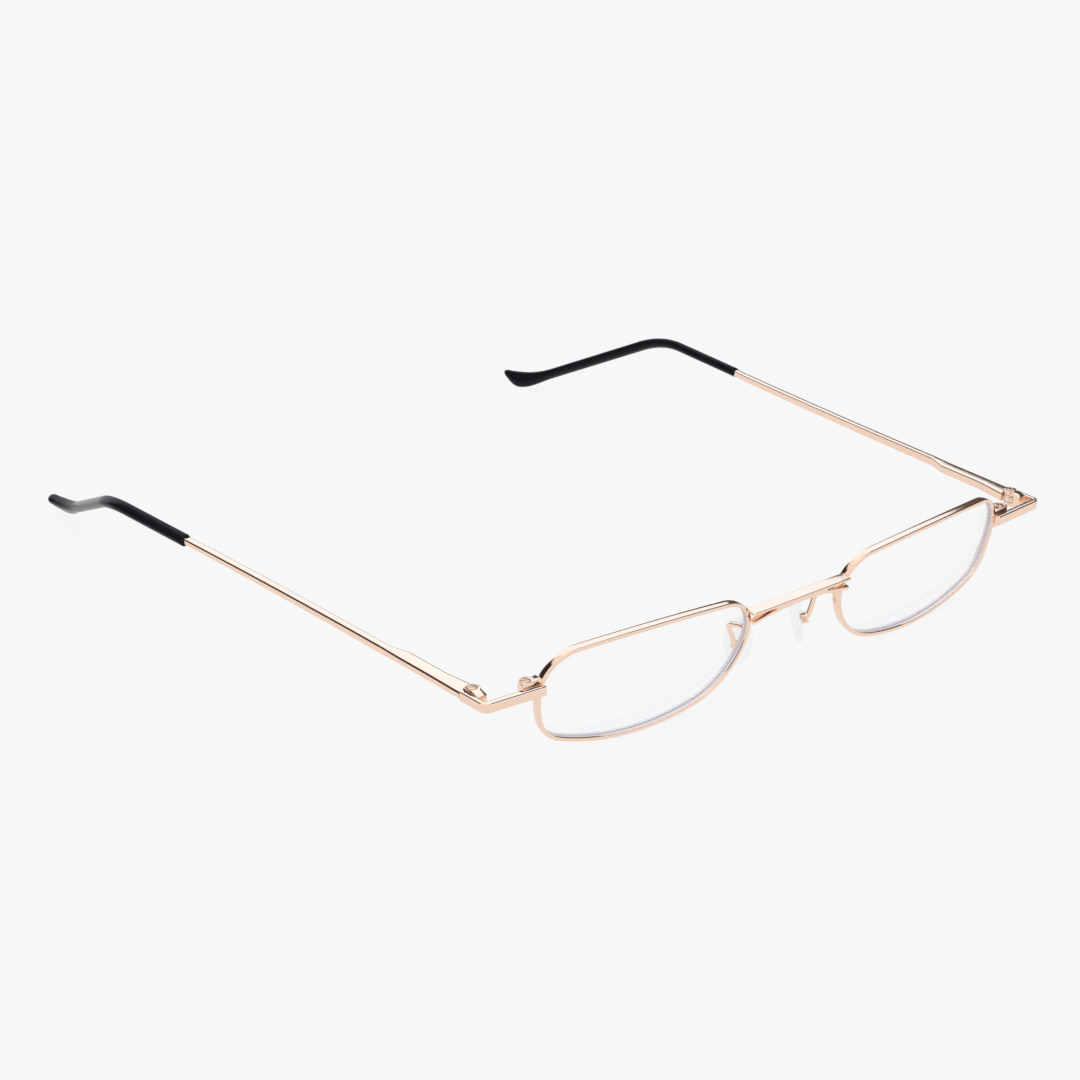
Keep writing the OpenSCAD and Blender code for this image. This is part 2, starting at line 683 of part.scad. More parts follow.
bow_ys = [for (i = [0 : bow_steps]) bow_start + (bar_end - bow_start) * i / bow_steps];
bar_plan = concat(
    [[side_x, bar_start]],
    [for (y = bow_ys) [bar_outer_x(y), y]],
    [[bar_outer_x(bar_end) - neck_t, bar_end]],
    [for (i = [bow_steps - 1 : -1 : 0]) let (y = bow_ys[i])
        if (y > housing_end) [bar_outer_x(y) - bar_thick(y), y]],
    [[side_x - bar_t, housing_end], [leg_in, housing_end], [leg_in, bar_start]]);

module in_tip(turn) translate(tip_start) rotate([0, 0, -turn[0]]) rotate([0, turn[1], 0]) children();

// Wire along the tip's route, from the bar's end round the first bend
core_sides = 12;
core_bends = 8;
module core(turn, d, from, run) {
    stations = concat([from], [for (i = [0 : core_bends]) s1 + (s2 - s1) * i / core_bends], [s2 + run]);
    in_tip(turn) tube(
        [for (s = stations) for (j = [0 : core_sides - 1])
            let (a = 360 * (j + 0.5) / core_sides, v = d / 2 * sin(a), t = tip_angle(s))
            [d / 2 * cos(a), tip_point(s)[0] + v * sin(t), tip_point(s)[1] + v * cos(t)]],
        core_sides);
}

module temple_bar(lean, turn)
    union() {
        difference() {
            intersection() {
                translate([0, 0, -far / 2]) linear_extrude(height = far) polygon(bar_plan);
                bar_side();
            }
            in_hinge(lean) hinge_round(relief_r, far);
        }
        core(turn, core_d, -0.3, core_run);
    }

housing_neck = hinge_y + 7.4;
housing_waist = hinge_y + 3.4;
housing_face = hinge_y + 1.8;
housing_plan = [
    [leg_in, housing_start], [leg_in, housing_end], [side_x - bar_t, housing_end],
    [side_x - housing_t, ramp_start], [side_x - housing_t - 0.05, housing_neck],
    [side_x - housing_front_t + 0.2, housing_waist], [side_x - housing_front_t, housing_face],
    [side_x - housing_front_t, housing_start]];

module spring_housing(lean)
    difference() {
        intersection() {
            translate([0, 0, -far / 2]) linear_extrude(height = far) polygon(housing_plan);
            bar_side();
        }
        along_spring(hinge_y, bore_end, spring_bore_d);
        in_hinge(lean) hinge_round(relief_r, far);
        translate([side_x - housing_t - dimple_r + dimple_deep - 0.05, bush_start + bush_len / 2, bar_mid])
            sphere(r = dimple_r, $fn = wire_fn);
    }

module temple_tip(turn)
    difference() {
        in_tip(turn) translate([0, 0.05, 0]) tube(tip_points, ring_sides);
        core(turn, core_d + 2 * run_play, -1, core_run + 0.5);
    }

// Nose pad frame: X away from the nose, Y back and Z along the pad
module in_pad()
    translate([pad_x, pad_y, -pad_drop]) rotate([0, 0, -pad_splay]) rotate([0, -pad_flare, 0]) children();

pad_back = pad_t / 2;
pin_out = pad_back + 0.7;
pad_pin_d = pad_screw_d - 0.3;
pad_head_t = 0.25;
pad_slot_w = 0.18;
pad_slot_deep = 0.12;
lug_r = 0.42;
lug_w = 0.8;
lug_play = 0.05;
box_wall = 0.3;
box_w = 1.7;
box_h = 1.5;
box_from = pad_back + 0.3;
box_back = pin_out + lug_r + 0.08;
box_to = box_back + box_wall;
pad_dome_r = 13;
pad_points = 36;
module across_pad(d, w)
    translate([pin_out, 0, 0]) rotate([90, 0, 0]) cylinder(d = d, h = w, center = true, $fn = wire_fn);

module nose_pad()
    in_pad() difference() {
        union() {
            intersection() {
                translate([-pad_t / 2, 0, 0]) rotate([90, 0, 90]) linear_extrude(height = pad_t)
                    polygon([for (i = [0 : pad_points - 1])
                        [pad_w / 2 * cos(360 * i / pad_points), pad_l / 2 * sin(360 * i / pad_points)]]);
                translate([pad_dome_r - pad_t / 2, 0, 0]) sphere(r = pad_dome_r, $fn = 120);
            }
            translate([0, -lug_w / 2, -lug_r]) cube([pin_out, lug_w, 2 * lug_r]);
            across_pad(2 * lug_r, lug_w);
        }
        across_pad(pad_pin_d + 2 * run_play, 2 * box_w);
    }

module pad_box()
    in_pad() difference() {
        translate([box_from, -box_w / 2, -box_h / 2]) cube([box_to - box_from, box_w, box_h]);
        translate([box_from - 1, -lug_w / 2 - lug_play, -box_h])
            cube([box_back - box_from + 1, lug_w + 2 * lug_play, 2 * box_h]);
        across_pad(pad_pin_d + 2 * run_play, 2 * box_w);
    }

module pad_screw()
    in_pad() translate([pin_out, -box_w / 2, 0]) rotate([90, 0, 0]) difference() {
        union() {
            cylinder(d = pad_screw_d, h = pad_head_t, $fn = wire_fn);
            translate([0, 0, -box_w]) cylinder(d = pad_pin_d, h = box_w, $fn = wire_fn);
        }
        translate([-1, -pad_slot_w / 2, pad_head_t - pad_slot_deep]) cube([2, pad_slot_w, 1]);
    }

// Pad arm: from the back of the rim, back round a bend and down to the box
arm_sink = 0.3;
arm_start_z = -2;
rim_nose_y = rim_sag - half_w * sin(rim_wrap) - rim_ahead;
rim_back_y = rim_nose_y + rim_d - (arm_start_z + rim_drop) * tan(rim_tilt);
arm_start = [(rim_gap + arm_d) / 2, rim_back_y - arm_sink, arm_start_z];
arm_bend = [rim_gap / 2, 2.2, -3.1];
arm_end_out = box_to + seam;
arm_end = [pad_x, pad_y, -pad_drop]
    + turn_about_z(lean_about_y([arm_end_out, 0, 0], -pad_flare), -pad_splay);
arm_sides = 10;
arm_turn = 1.1;
arm_a = arm_bend + arm_turn * (arm_start - arm_bend) / norm(arm_start - arm_bend);
arm_b = arm_bend + arm_turn * (arm_end - arm_bend) / norm(arm_end - arm_bend);
function blend(u) = (1 - u) * (1 - u) * arm_a + 2 * u * (1 - u) * arm_bend + u * u * arm_b;
function blend_way(u) = (1 - u) * (arm_bend - arm_a) + u * (arm_b - arm_bend);
function unit(v) = v / norm(v);
arm_side = unit(cross(arm_bend - arm_start, arm_end - arm_bend));
function arm_ring(p, way) =
    let (up = cross(arm_side, unit(way)))
    [for (j = [0 : arm_sides - 1]) let (a = 360 * j / arm_sides)
        p + arm_d / 2 * (cos(a) * arm_side + sin(a) * up)];

module pad_arm()
    difference() {
        tube(concat(
            arm_ring(arm_start, arm_bend - arm_start),
            [for (i = [0 : 8]) each arm_ring(blend(i / 8), blend_way(i / 8))],
            arm_ring(arm_end, arm_end - arm_bend)), arm_sides);
        rim_blank();
        in_pad() translate([box_from - 1, -2, -2]) cube([box_to - box_from + 1, 4, 4]);
    }

color(gold) at_left() rim();  // rim_left
color(gold) at_right() rim();  // rim_right
color(clear) at_left() lens();  // lens_left
color(clear) at_right() lens();  // lens_right
color(gold) at_rest() bridge_solid();  // bridge
color(gold) at_left() endpiece(hinge_lean);  // endpiece_left
color(gold) at_right() endpiece(-hinge_lean);  // endpiece_right
color(gold) at_left() rim_lock_upper();  // rim_lock_upper_left
color(gold) at_right() rim_lock_upper();  // rim_lock_upper_right
color(gold) at_left() rim_lock_lower();  // rim_lock_lower_left
color(gold) at_right() rim_lock_lower();  // rim_lock_lower_right
color(gold_dark) at_left() rim_lock_screw();  // rim_lock_screw_left
color(gold_dark) at_right() rim_lock_screw();  // rim_lock_screw_right
color(gold) at_left() hinge_leaf(hinge_lean);  // hinge_leaf_left
color(gold) at_right() hinge_leaf(-hinge_lean);  // hinge_leaf_right
color(gold_dark) at_left() hinge_screw(hinge_lean);  // hinge_screw_left
color(gold_dark) at_right() hinge_screw(-hinge_lean);  // hinge_screw_right
color(steel) at_left() hinge_slider(hinge_lean);  // hinge_slider_left
color(steel) at_right() hinge_slider(-hinge_lean);  // hinge_slider_right
color(steel) at_left() slider_nut();  // slider_nut_left
color(steel) at_right() slider_nut();  // slider_nut_right
color(steel) at_left() hinge_spring();  // hinge_spring_left
color(steel) at_right() hinge_spring();  // hinge_spring_right
color(steel) at_left() spring_bush();  // spring_bush_left
color(steel) at_right() spring_bush();  // spring_bush_right
color(gold) at_left() spring_housing(hinge_lean);  // spring_housing_left
color(gold) at_right() spring_housing(-hinge_lean);  // spring_housing_right
color(gold) at_left() temple_bar(hinge_lean, turn_left);  // temple_bar_left
color(gold) at_right() temple_bar(-hinge_lean, turn_right);  // temple_bar_right
color(black) at_left() temple_tip(turn_left);  // temple_tip_left
color(black) at_right() temple_tip(turn_right);  // temple_tip_right
color(gold) at_left() pad_arm();  // pad_arm_left
color(gold) at_right() pad_arm();  // pad_arm_right
color(gold) at_left() pad_box();  // pad_box_left
color(gold) at_right() pad_box();  // pad_box_right
color(gold_dark) at_left() pad_screw();  // pad_screw_left
color(gold_dark) at_right() pad_screw();  // pad_screw_right
color(clear) at_left() nose_pad();  // nose_pad_left
color(clear) at_right() nose_pad();  // nose_pad_right
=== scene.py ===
import json
import math

import bmesh
import bpy
from mathutils import Matrix, Vector


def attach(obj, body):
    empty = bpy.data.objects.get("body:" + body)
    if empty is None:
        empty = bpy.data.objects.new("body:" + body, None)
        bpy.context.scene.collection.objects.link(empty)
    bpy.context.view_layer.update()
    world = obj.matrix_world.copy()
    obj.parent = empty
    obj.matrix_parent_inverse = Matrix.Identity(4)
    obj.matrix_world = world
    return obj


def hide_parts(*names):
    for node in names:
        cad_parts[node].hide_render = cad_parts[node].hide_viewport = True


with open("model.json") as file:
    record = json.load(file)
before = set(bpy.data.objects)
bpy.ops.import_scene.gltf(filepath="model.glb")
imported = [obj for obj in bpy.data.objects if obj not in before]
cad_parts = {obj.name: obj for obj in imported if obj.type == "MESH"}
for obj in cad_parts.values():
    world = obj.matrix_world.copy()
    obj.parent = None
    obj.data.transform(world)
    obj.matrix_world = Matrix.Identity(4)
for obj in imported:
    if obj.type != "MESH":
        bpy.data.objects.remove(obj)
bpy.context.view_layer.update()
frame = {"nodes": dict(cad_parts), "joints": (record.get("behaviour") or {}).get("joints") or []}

MM = 0.001
SIDES = {"left": 1, "right": -1}

# Driving dimensions, in millimetres. An angle is in radians where no comment says degrees.

# Width over the corners, and gap between the rims
FRONT_W, RIM_GAP = 132.7, 21.4
# How far a rim's top leans forward and its outer side turns back, and how far its middle hangs below
# the corners and stands ahead of them
RIM_TILT, RIM_WRAP = math.radians(9.1), math.radians(4.7)
RIM_DROP, RIM_AHEAD = 4.9, 2.2
# Rim: outer size, thickness and depth of its wire, and the radius it is bent to, seen from above
RIM_W, RIM_H, RIM_T, RIM_D, BASE_R = 44.2, 21.3, 0.75, 1.6, 205.0
# Radii of a rim's long arcs, and of the three corners between them
OUTER_R, TOP_R, BOTTOM_R, NOSE_R = 21.0, 177.0, 50.3, 14.1
CORNER_TOP_OUTER, CORNER_BOTTOM_OUTER, CORNER_TOP_NOSE = 7.4, 7.6, 7.1
# Where the long arcs reach furthest, off the rim's middle, and how far the nose side stands out
APEX_OUTER, APEX_TOP, APEX_BOTTOM, NOSE_OUT = 2.7, -0.3, 0.8, 0.2
# Depth and width of the groove, length and depth of the slope at the wire's back edge
GROOVE, GROOVE_W, SLOPE_LEN, SLOPE_IN = 0.38, 0.6, 0.62, 0.2
# Height of the slit in the rim, half its width, and the share of the half width that it lies beyond
SLIT_Z, SLIT_HALF, SLIT_SIDE = -0.9, 0.06, 0.8
# Lens: radii of its two faces, thickness, and play in the groove
LENS_FRONT_R, LENS_BACK_R, LENS_T, LENS_PLAY = 160.0, 300.0, 1.8, 0.03
# Endpiece: thickness, thickness of its leg, radius of its corner, and its lap on the rim's front and side
ENDPIECE_T, LEG_T, CORNER_R, LAP_T, LAP_W = 1.35, 1.0, 1.6, 1.45, 0.5
# How far back the corner is from the X axis, and the leg's end from the hinge's axis
CORNER_Y, LEG_BEHIND = -0.35, 0.86
# Hinge: how far its axis is in from the side and behind the X axis, its lean, and the relief round it
HINGE_IN, HINGE_Y, HINGE_LEAN, RELIEF_R = 1.86, 5.14, math.radians(1.2), 1.5
# Height of that relief: right through the bar, and only as high as the slider's eye in the leg
BAR_RELIEF_H, LEG_RELIEF_H = 20.0, 1.4
# Bar: top edge, height, gap to the leg, end, thickness, and how far it bows out from where
BAR_TOP, BAR_H, BAR_GAP, BAR_END, BAR_T, BAR_BOW, BOW_START = 0.1, 1.8, 0.1, 81.5, 1.5, 1.5, 13.5
# Neck of the bar where the sleeve starts
NECK_T, NECK_LEN = 1.27, 3.0
# Spring housing: where it starts and ends behind the hinge's axis, and end and width of its bore
HOUSING_FROM, HOUSING_TO, BORE_END, BORE_D = 1.1, 20.4, 21.9, 1.0
# Sleeve: toe-out and lean on each side, in degrees
TIP_TURN = {"left": (3.2, 31.5), "right": (1.6, 38.0)}
# Sleeve: length to its bend, on to its heel, and straight on at its end, then both bends and their radii
TIP_STRAIGHT, TIP_DROP, TOE_LEN = 23.6, 38.2, 0.2
TIP_BEND, HEEL_BEND = math.radians(32.1), math.radians(30.1)
BEND_R, HEEL_R = 20.5, 29.5
# Sleeve: height, width, height at the heel, and length of the swell behind the heel and ahead of it
TIP_H, TIP_ACROSS, HEEL_H, HEEL_BACK, SWELL_LEN = 1.85, 2.28, 3.38, 5.8, 9.4
# Toe: half thickness below and above the middle line, share of the width, rounded length, and cut
END_LOW, END_HIGH, END_SIDE, NOSE_LEN, TOE_CUT = 0.7, 0.6, 0.84, 1.7, 0.25
# Taper across the toe: how far ahead of the heel it starts, and how it gathers pace
TAPER_AHEAD, TAPER_POWER = 2.0, 1.5
# Pad: place, splay and flare
PAD_AT, PAD_SPLAY, PAD_FLARE = Vector((6.9, 3.2, -7.9)), math.radians(28), math.radians(5)
# Pad arm: width of its wire, height of its start, its elbow, how round that is, its reach and its weld
ARM_D, ARM_START_Z, ARM_BEND = 0.9, -2.0, Vector((RIM_GAP / 2, 2.2, -3.1))
ARM_TURN, ARM_REACH, ARM_WELD = 1.1, 2.14, 0.08
# Rounding of the edges of each metal piece that keeps the shape of its node
BRIDGE_EDGE, LOCK_EDGE, SCREW_EDGE, LEAF_EDGE = 0.24, 0.1, 0.05, 0.07
SLIDER_EDGE, BOX_EDGE, PAD_SCREW_EDGE = 0.07, 0.06, 0.03
# Below this height a rim lock and its screw are drawn up, and by how much
LOCK_CUT, LOCK_LIFT = -2.5, 0.55
# In front of this a hinge leaf is no taller than the endpiece that it is soldered to
LEAF_RAMP_Y = 3.14

HALF_W, HALF_H = RIM_W / 2, RIM_H / 2
SIDE_X = FRONT_W / 2
LEG_IN = SIDE_X - LEG_T
LEG_END = HINGE_Y + LEG_BEHIND
BAR_START = LEG_END + BAR_GAP
BAR_LOW = BAR_TOP - BAR_H
HINGE_AT = Vector((SIDE_X - HINGE_IN, HINGE_Y, BAR_TOP - BAR_H / 2))
RIM_SAG = HALF_W ** 2 / (2 * BASE_R)

# The front's own frame: the upper outer corners of the endpieces lie on its X axis, in millimetres.
# Its place in the model's frame follows from the spring slide's direction and a hinge's position.
JOINTS = {joint["name"]: joint for joint in frame["joints"]}
SLIDE = JOINTS["spring_slide_left"]["axis"]
TILT = Matrix.Rotation(math.atan2(SLIDE[2], SLIDE[1]), 4, "X")
HINGE_IN_MODEL = Vector(JOINTS["temple_fold_left"]["pos_m"]) / MM
FRONT = Matrix.Translation(HINGE_IN_MODEL - TILT @ HINGE_AT) @ TILT

# Angles in degrees over which an edge stays sharp when a piece is shaded
LOFT_CREASE, METAL_CREASE, SLEEVE_CREASE, PAD_CREASE = 32.0, 35.0, 60.0, 80.0


# Small helpers

def link(obj):
    bpy.context.scene.collection.objects.link(obj)
    return obj


def spread(first, last, count):
    """Numbers from first to last in count even steps."""
    return [first + (last - first) * i / count for i in range(count + 1)]


def circle(count):
    """Cosine and sine of count even steps round a circle."""
    return [(math.cos(a), math.sin(a)) for a in (2 * math.pi * j / count for j in range(count))]


def loft(rings, caps=True):
    """Points and faces between rings that all have the same count of points."""
    n = len(rings[0])
    verts = [point for ring in rings for point in ring]
    faces = []
    for i in range(len(rings) - 1):
        a, b = i * n, (i + 1) * n
        for j in range(n):
            k = (j + 1) % n
            faces.append((a + j, a + k, b + k, b + j))
    if caps:
        faces.append(tuple(reversed(range(n))))
        faces.append(tuple((len(rings) - 1) * n + j for j in range(n)))
    return verts, faces


def place(points, side, inner=None):
    """Points of the front's frame in the model's, mirrored for side -1, after an optional local matrix."""
    matrix = FRONT @ Matrix.Diagonal((side, 1, 1, 1)) @ (inner or Matrix.Identity(4))
    return [matrix @ Vector(point) for point in points]


def new_mesh(name, verts, faces):
    mesh = bpy.data.meshes.new(name)
    mesh.from_pydata([tuple(v) for v in verts], [], faces)
    mesh.validate()
    return mesh


def node_mesh(node, mat):
    """A copy of a CAD node's mesh, in millimetres."""
    mesh = frame["nodes"][node].data.copy()
    mesh.transform(Matrix.Scale(1 / MM, 4))
    mesh.materials.clear()
    mesh.materials.append(mat)
    return mesh


def applied(tool, *cutters):
    """The mesh of an object with its modifiers applied. The object and its cutters are removed."""
    bpy.context.view_layer.update()
    shaped = bpy.data.meshes.new_from_object(tool.evaluated_get(bpy.context.evaluated_depsgraph_get()))
    for obj in (tool, *cutters):
        bpy.data.objects.remove(obj)
    return shaped


def make_piece(name, mesh, crease, mat, body, node):
    """A piece from a mesh in millimetres. It rides on the body and stands for the CAD node."""
    bm = bmesh.new()
    bm.from_mesh(mesh)
    bmesh.ops.recalc_face_normals(bm, faces=bm.faces)
    bm.to_mesh(mesh)
    bm.free()
    mesh.transform(Matrix.Scale(MM, 4))
    mesh.polygons.foreach_set("use_smooth", [True] * len(mesh.polygons))
    mesh.set_sharp_from_angle(angle=math.radians(crease))
    mesh.update()
    mesh.materials.clear()
    mesh.materials.append(mat)
    piece = link(bpy.data.objects.new(name, mesh))
    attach(piece, body)
    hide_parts(node)
    return piece


# Materials. Scales of patterns are per metre.

class Nodes:
    """Adds shader nodes to a tree and links them."""

    def __init__(self, tree):
        self.tree = tree
        tree.nodes.clear()

    def add(self, kind, inputs=None, **props):
        """A new node. Each of its inputs is a socket to link or a value to set."""
        node = self.tree.nodes.new(kind)
        for key, value in props.items():
            setattr(node, key, value)
        for key, value in (inputs or {}).items():
            if isinstance(value, bpy.types.NodeSocket):
                self.tree.links.new(value, node.inputs[key])
            else:
                node.inputs[key].default_value = value
        return node

    def where(self):
        return self.add("ShaderNodeTexCoord").outputs["Object"]

    def stretched(self, where, scale):
        return self.add("ShaderNodeMapping", {"Vector": where, "Scale": scale}).outputs["Vector"]

    def noise(self, where, scale, detail):
        inputs = {"Vector": where, "Scale": scale, "Detail": detail, "Roughness": 0.55}
        return self.add("ShaderNodeTexNoise", inputs).outputs["Fac"]

    def ramp(self, value, *stops):
        """Colour that goes from one (position, colour) stop to the other."""
        node = self.add("ShaderNodeValToRGB", {"Fac": value})
        for item, (position, colour) in zip(node.color_ramp.elements, stops):
            item.position = position
            item.color = (*colour, 1.0)
        return node.outputs["Color"]

    def band(self, value, low, high, to_low=0.0, to_high=1.0):
        """Value that goes smoothly from to_low at low to to_high at high."""
        inputs = {"Value": value, "From Min": low, "From Max": high, "To Min": to_low, "To Max": to_high}
        return self.add("ShaderNodeMapRange", inputs, interpolation_type="SMOOTHSTEP").outputs["Result"]

    def calc(self, operation, a, b):
        return self.add("ShaderNodeMath", {0: a, 1: b}, operation=operation).outputs[0]

    def bump(self, height, strength, distance):
        inputs = {"Height": height, "Strength": strength, "Distance": distance}
        return self.add("ShaderNodeBump", inputs).outputs["Normal"]

    def shader(self, kind, inputs):
        return self.add(kind, inputs).outputs[0]

    def mixed(self, share, first, second):
        """Two shaders mixed, with share of the second."""
        return self.shader("ShaderNodeMixShader", {"Fac": share, 1: first, 2: second})

    def surface(self, shader, kind="ShaderNodeOutputMaterial"):
        self.add(kind, {"Surface": shader})


def new_material(name):
    mat = bpy.data.materials.new(name)
    mat.use_nodes = True
    return mat, Nodes(mat.node_tree)


def metal(name, base, tint, rough, grain=1.0):
    """Plated metal: slight colour drift, polishing lines and fine pits."""
    mat, nodes = new_material(name)
    where = nodes.where()
    drift = nodes.noise(where, 160.0, 2.0)
    lines = nodes.noise(nodes.stretched(where, (2600.0, 900.0, 9000.0)), 1.0, 4.0)
    pits = nodes.noise(where, 5200.0, 2.0)
    wear = nodes.noise(where, 420.0, 3.0)
    uneven = nodes.calc("MULTIPLY", lines, wear)
    nodes.surface(nodes.shader("ShaderNodeBsdfPrincipled", {
        "Base Color": nodes.ramp(drift, (0.3, base), (0.7, tint)),
        "Metallic": 1.0,
        "Roughness": nodes.band(uneven, 0.12, 0.42, rough * 0.75, rough * 1.5),
        "Normal": nodes.bump(nodes.calc("ADD", pits, lines), 0.02 * grain, 0.00002)}))
    return mat


def sleeve_plastic():
    """Glossy black plastic with a faint blue cast, soft waves and handling scuffs."""
    mat, nodes = new_material("sleeve_black")
    where = nodes.where()
    cloud = nodes.noise(where, 120.0, 3.0)
    scuffs = nodes.noise(nodes.stretched(where, (2200.0, 260.0, 2200.0)), 1.0, 5.0)
    waves = nodes.noise(where, 900.0, 2.0)
    nodes.surface(nodes.shader("ShaderNodeBsdfPrincipled", {
        "Base Color": nodes.ramp(cloud, (0.3, (0.0062, 0.0068, 0.0088)), (0.75, (0.0088, 0.0093, 0.0116))),
        "Roughness": nodes.band(scuffs, 0.35, 0.8, 0.1, 0.22),
        "Specular IOR Level": 0.07,
        "Normal": nodes.bump(waves, 0.05, 0.00003)}))
    return mat


def lens_clear():
    """Clear coated lens: light passes straight through, with a weak reflection and a few dust marks."""
    mat, nodes = new_material("lens_clear_coat")
    where = nodes.where()
    dust = nodes.noise(where, 2400.0, 2.0)
    coat = nodes.noise(where, 35.0, 2.0)
    gloss = nodes.shader("ShaderNodeBsdfGlossy", {
        "Color": nodes.ramp(coat, (0.3, (0.96, 0.98, 1.0)), (0.7, (0.99, 0.97, 1.0))),
        "Roughness": nodes.band(dust, 0.55, 0.8, 0.01, 0.12)})
    through = nodes.shader("ShaderNodeBsdfTransparent", {"Color": (0.997, 0.998, 1.0, 1.0)})
    fresnel = nodes.shader("ShaderNodeFresnel", {"IOR": 1.5})
    nodes.surface(nodes.mixed(nodes.calc("MULTIPLY", fresnel, 0.06), through, gloss))
    return mat


def lens_edge():
    """Ground edge of the lens, a pale grey-lilac frosting with a painted glow of its own colour."""
    mat, nodes = new_material("lens_ground_edge")
    grain = nodes.noise(nodes.where(), 6000.0, 2.0)
    colour = nodes.ramp(grain, (0.3, (0.6, 0.6, 0.635)), (0.7, (0.66, 0.655, 0.69)))
    frost_and_glow = nodes.shader("ShaderNodeBsdfPrincipled", {
        "Base Color": colour,
        "Roughness": nodes.band(grain, 0.3, 0.7, 0.4, 0.7),
        "Specular IOR Level": 0.2,
        # Painted glow: the frosted edge gives off a little light of its own colour.
        "Emission Color": colour,
        "Emission Strength": 0.3})
    through = nodes.shader("ShaderNodeBsdfTransparent", {
        "Color": nodes.ramp(grain, (0.3, (0.94, 0.93, 0.95)), (0.7, (0.97, 0.96, 0.975)))})
    nodes.surface(nodes.mixed(0.72, through, frost_and_glow))
    return mat


def pad_silicone():
    """Clear soft silicone with a slight blue-grey depth."""
    mat, nodes = new_material("pad_silicone")
    where = nodes.where()
    haze = nodes.noise(where, 380.0, 3.0)
    touch = nodes.noise(where, 1500.0, 3.0)
    body = nodes.shader("ShaderNodeBsdfPrincipled", {
        "Base Color": nodes.ramp(haze, (0.3, (0.83, 0.87, 0.9)), (0.7, (0.92, 0.94, 0.95))),
        "Roughness": nodes.band(touch, 0.35, 0.7, 0.16, 0.3),
        "Specular IOR Level": 0.5})
    through = nodes.shader("ShaderNodeBsdfTransparent", {
        "Color": nodes.ramp(haze, (0.3, (0.962, 0.97, 0.975)), (0.7, (0.978, 0.984, 0.987)))})
    facing = nodes.add("ShaderNodeLayerWeight", {"Blend": 0.35}).outputs["Facing"]
    nodes.surface(nodes.mixed(nodes.band(facing, 0.3, 1.0, 0.02, 0.4), through, body))
    return mat


GOLD = metal("rose_gold_plate", base=(0.925, 0.695, 0.555), tint=(0.91, 0.675, 0.535), rough=0.09)
GOLD_DARK = metal("rose_gold_screw", base=(0.84, 0.575, 0.42), tint=(0.78, 0.52, 0.37), rough=0.2, grain=1.6)
STEEL = metal("plated_steel", base=(0.88, 0.7, 0.59), tint=(0.82, 0.65, 0.55), rough=0.16, grain=1.4)
SLEEVE = sleeve_plastic()
LENS = lens_clear()
LENS_EDGE = lens_edge()
PAD = pad_silicone()


# Rims and lenses

RIM_X = RIM_GAP / 2 + HALF_W * math.cos(RIM_WRAP)
IN_RIM = (
    Matrix.Translation((RIM_X, -RIM_AHEAD, -RIM_DROP))
    @ Matrix.Rotation(RIM_TILT, 4, "X")
    @ Matrix.Rotation(RIM_WRAP, 4, "Z"))
# Length of the rim's outer edge between two points of it, and least steps of an arc
RIM_STEP, ARC_STEPS = 0.32, 6
# Rings of points on each face of a lens
LENS_RINGS = 12

# Middles of the long arcs, in the rim's plane
OUTER_MID = Vector((HALF_W - OUTER_R, APEX_OUTER))
TOP_MID = Vector((APEX_TOP, HALF_H - TOP_R))
BOTTOM_MID = Vector((APEX_BOTTOM, BOTTOM_R - HALF_H))
NOSE_X = NOSE_R - HALF_W - NOSE_OUT
NOSE_MID = Vector((NOSE_X, BOTTOM_MID.y - math.sqrt((BOTTOM_R - NOSE_R) ** 2 - (NOSE_X - APEX_BOTTOM) ** 2)))


def corner_at(a, ra, b, rb, r):
    """Middle of the corner of radius r between the long arcs a and b, met in turn anticlockwise."""
    d = (b - a).length
    e = (b - a) / d
    x = (d * d + (ra - r) ** 2 - (rb - r) ** 2) / (2 * d)
    h = math.sqrt((ra - r) ** 2 - x * x)
    return a + x * e + h * Vector((-e.y, e.x))


TOP_OUTER_MID = corner_at(OUTER_MID, OUTER_R, TOP_MID, TOP_R, CORNER_TOP_OUTER)
TOP_NOSE_MID = corner_at(TOP_MID, TOP_R, NOSE_MID, NOSE_R, CORNER_TOP_NOSE)
BOTTOM_OUTER_MID = corner_at(BOTTOM_MID, BOTTOM_R, OUTER_MID, OUTER_R, CORNER_BOTTOM_OUTER)


def heading(a, b):
    return math.atan2(b.y - a.y, b.x - a.x)


def rim_arcs():
    """(middle, radius, first angle, last angle) of each arc of a rim's outer edge, anticlockwise."""
    at = heading(OUTER_MID, BOTTOM_OUTER_MID)
    ends = (
        (OUTER_MID, OUTER_R, heading(OUTER_MID, TOP_OUTER_MID)),
        (TOP_OUTER_MID, CORNER_TOP_OUTER, heading(TOP_MID, TOP_OUTER_MID)),
        (TOP_MID, TOP_R, heading(TOP_MID, TOP_NOSE_MID)),
        (TOP_NOSE_MID, CORNER_TOP_NOSE, heading(NOSE_MID, TOP_NOSE_MID)),
        (NOSE_MID, NOSE_R, heading(BOTTOM_MID, NOSE_MID)),
        (BOTTOM_MID, BOTTOM_R, heading(BOTTOM_MID, BOTTOM_OUTER_MID)),
        (BOTTOM_OUTER_MID, CORNER_BOTTOM_OUTER, heading(OUTER_MID, BOTTOM_OUTER_MID)))
    arcs = []
    for middle, radius, last in ends:
        while last < at:
            last += 2 * math.pi
        arcs.append((middle, radius, at, last))
        at = last
    return arcs


RIM_ARCS = rim_arcs()


def rim_outline(inset):
    """Points of the rim's edge, moved inwards by inset, in the rim's plane."""
    points = []
    for middle, radius, first, last in RIM_ARCS:
        count = max(ARC_STEPS, round(radius * (last - first) / RIM_STEP))
        for a in spread(first, last, count)[:-1]:
            points.append(middle + (radius - inset) * Vector((math.cos(a), math.sin(a))))
    return points


def base_depth(u, depth):
    """How far back a point of the bent wire lies, u along the rim and depth behind its front."""
    return BASE_R - math.sqrt((BASE_R - depth) ** 2 - u * u)


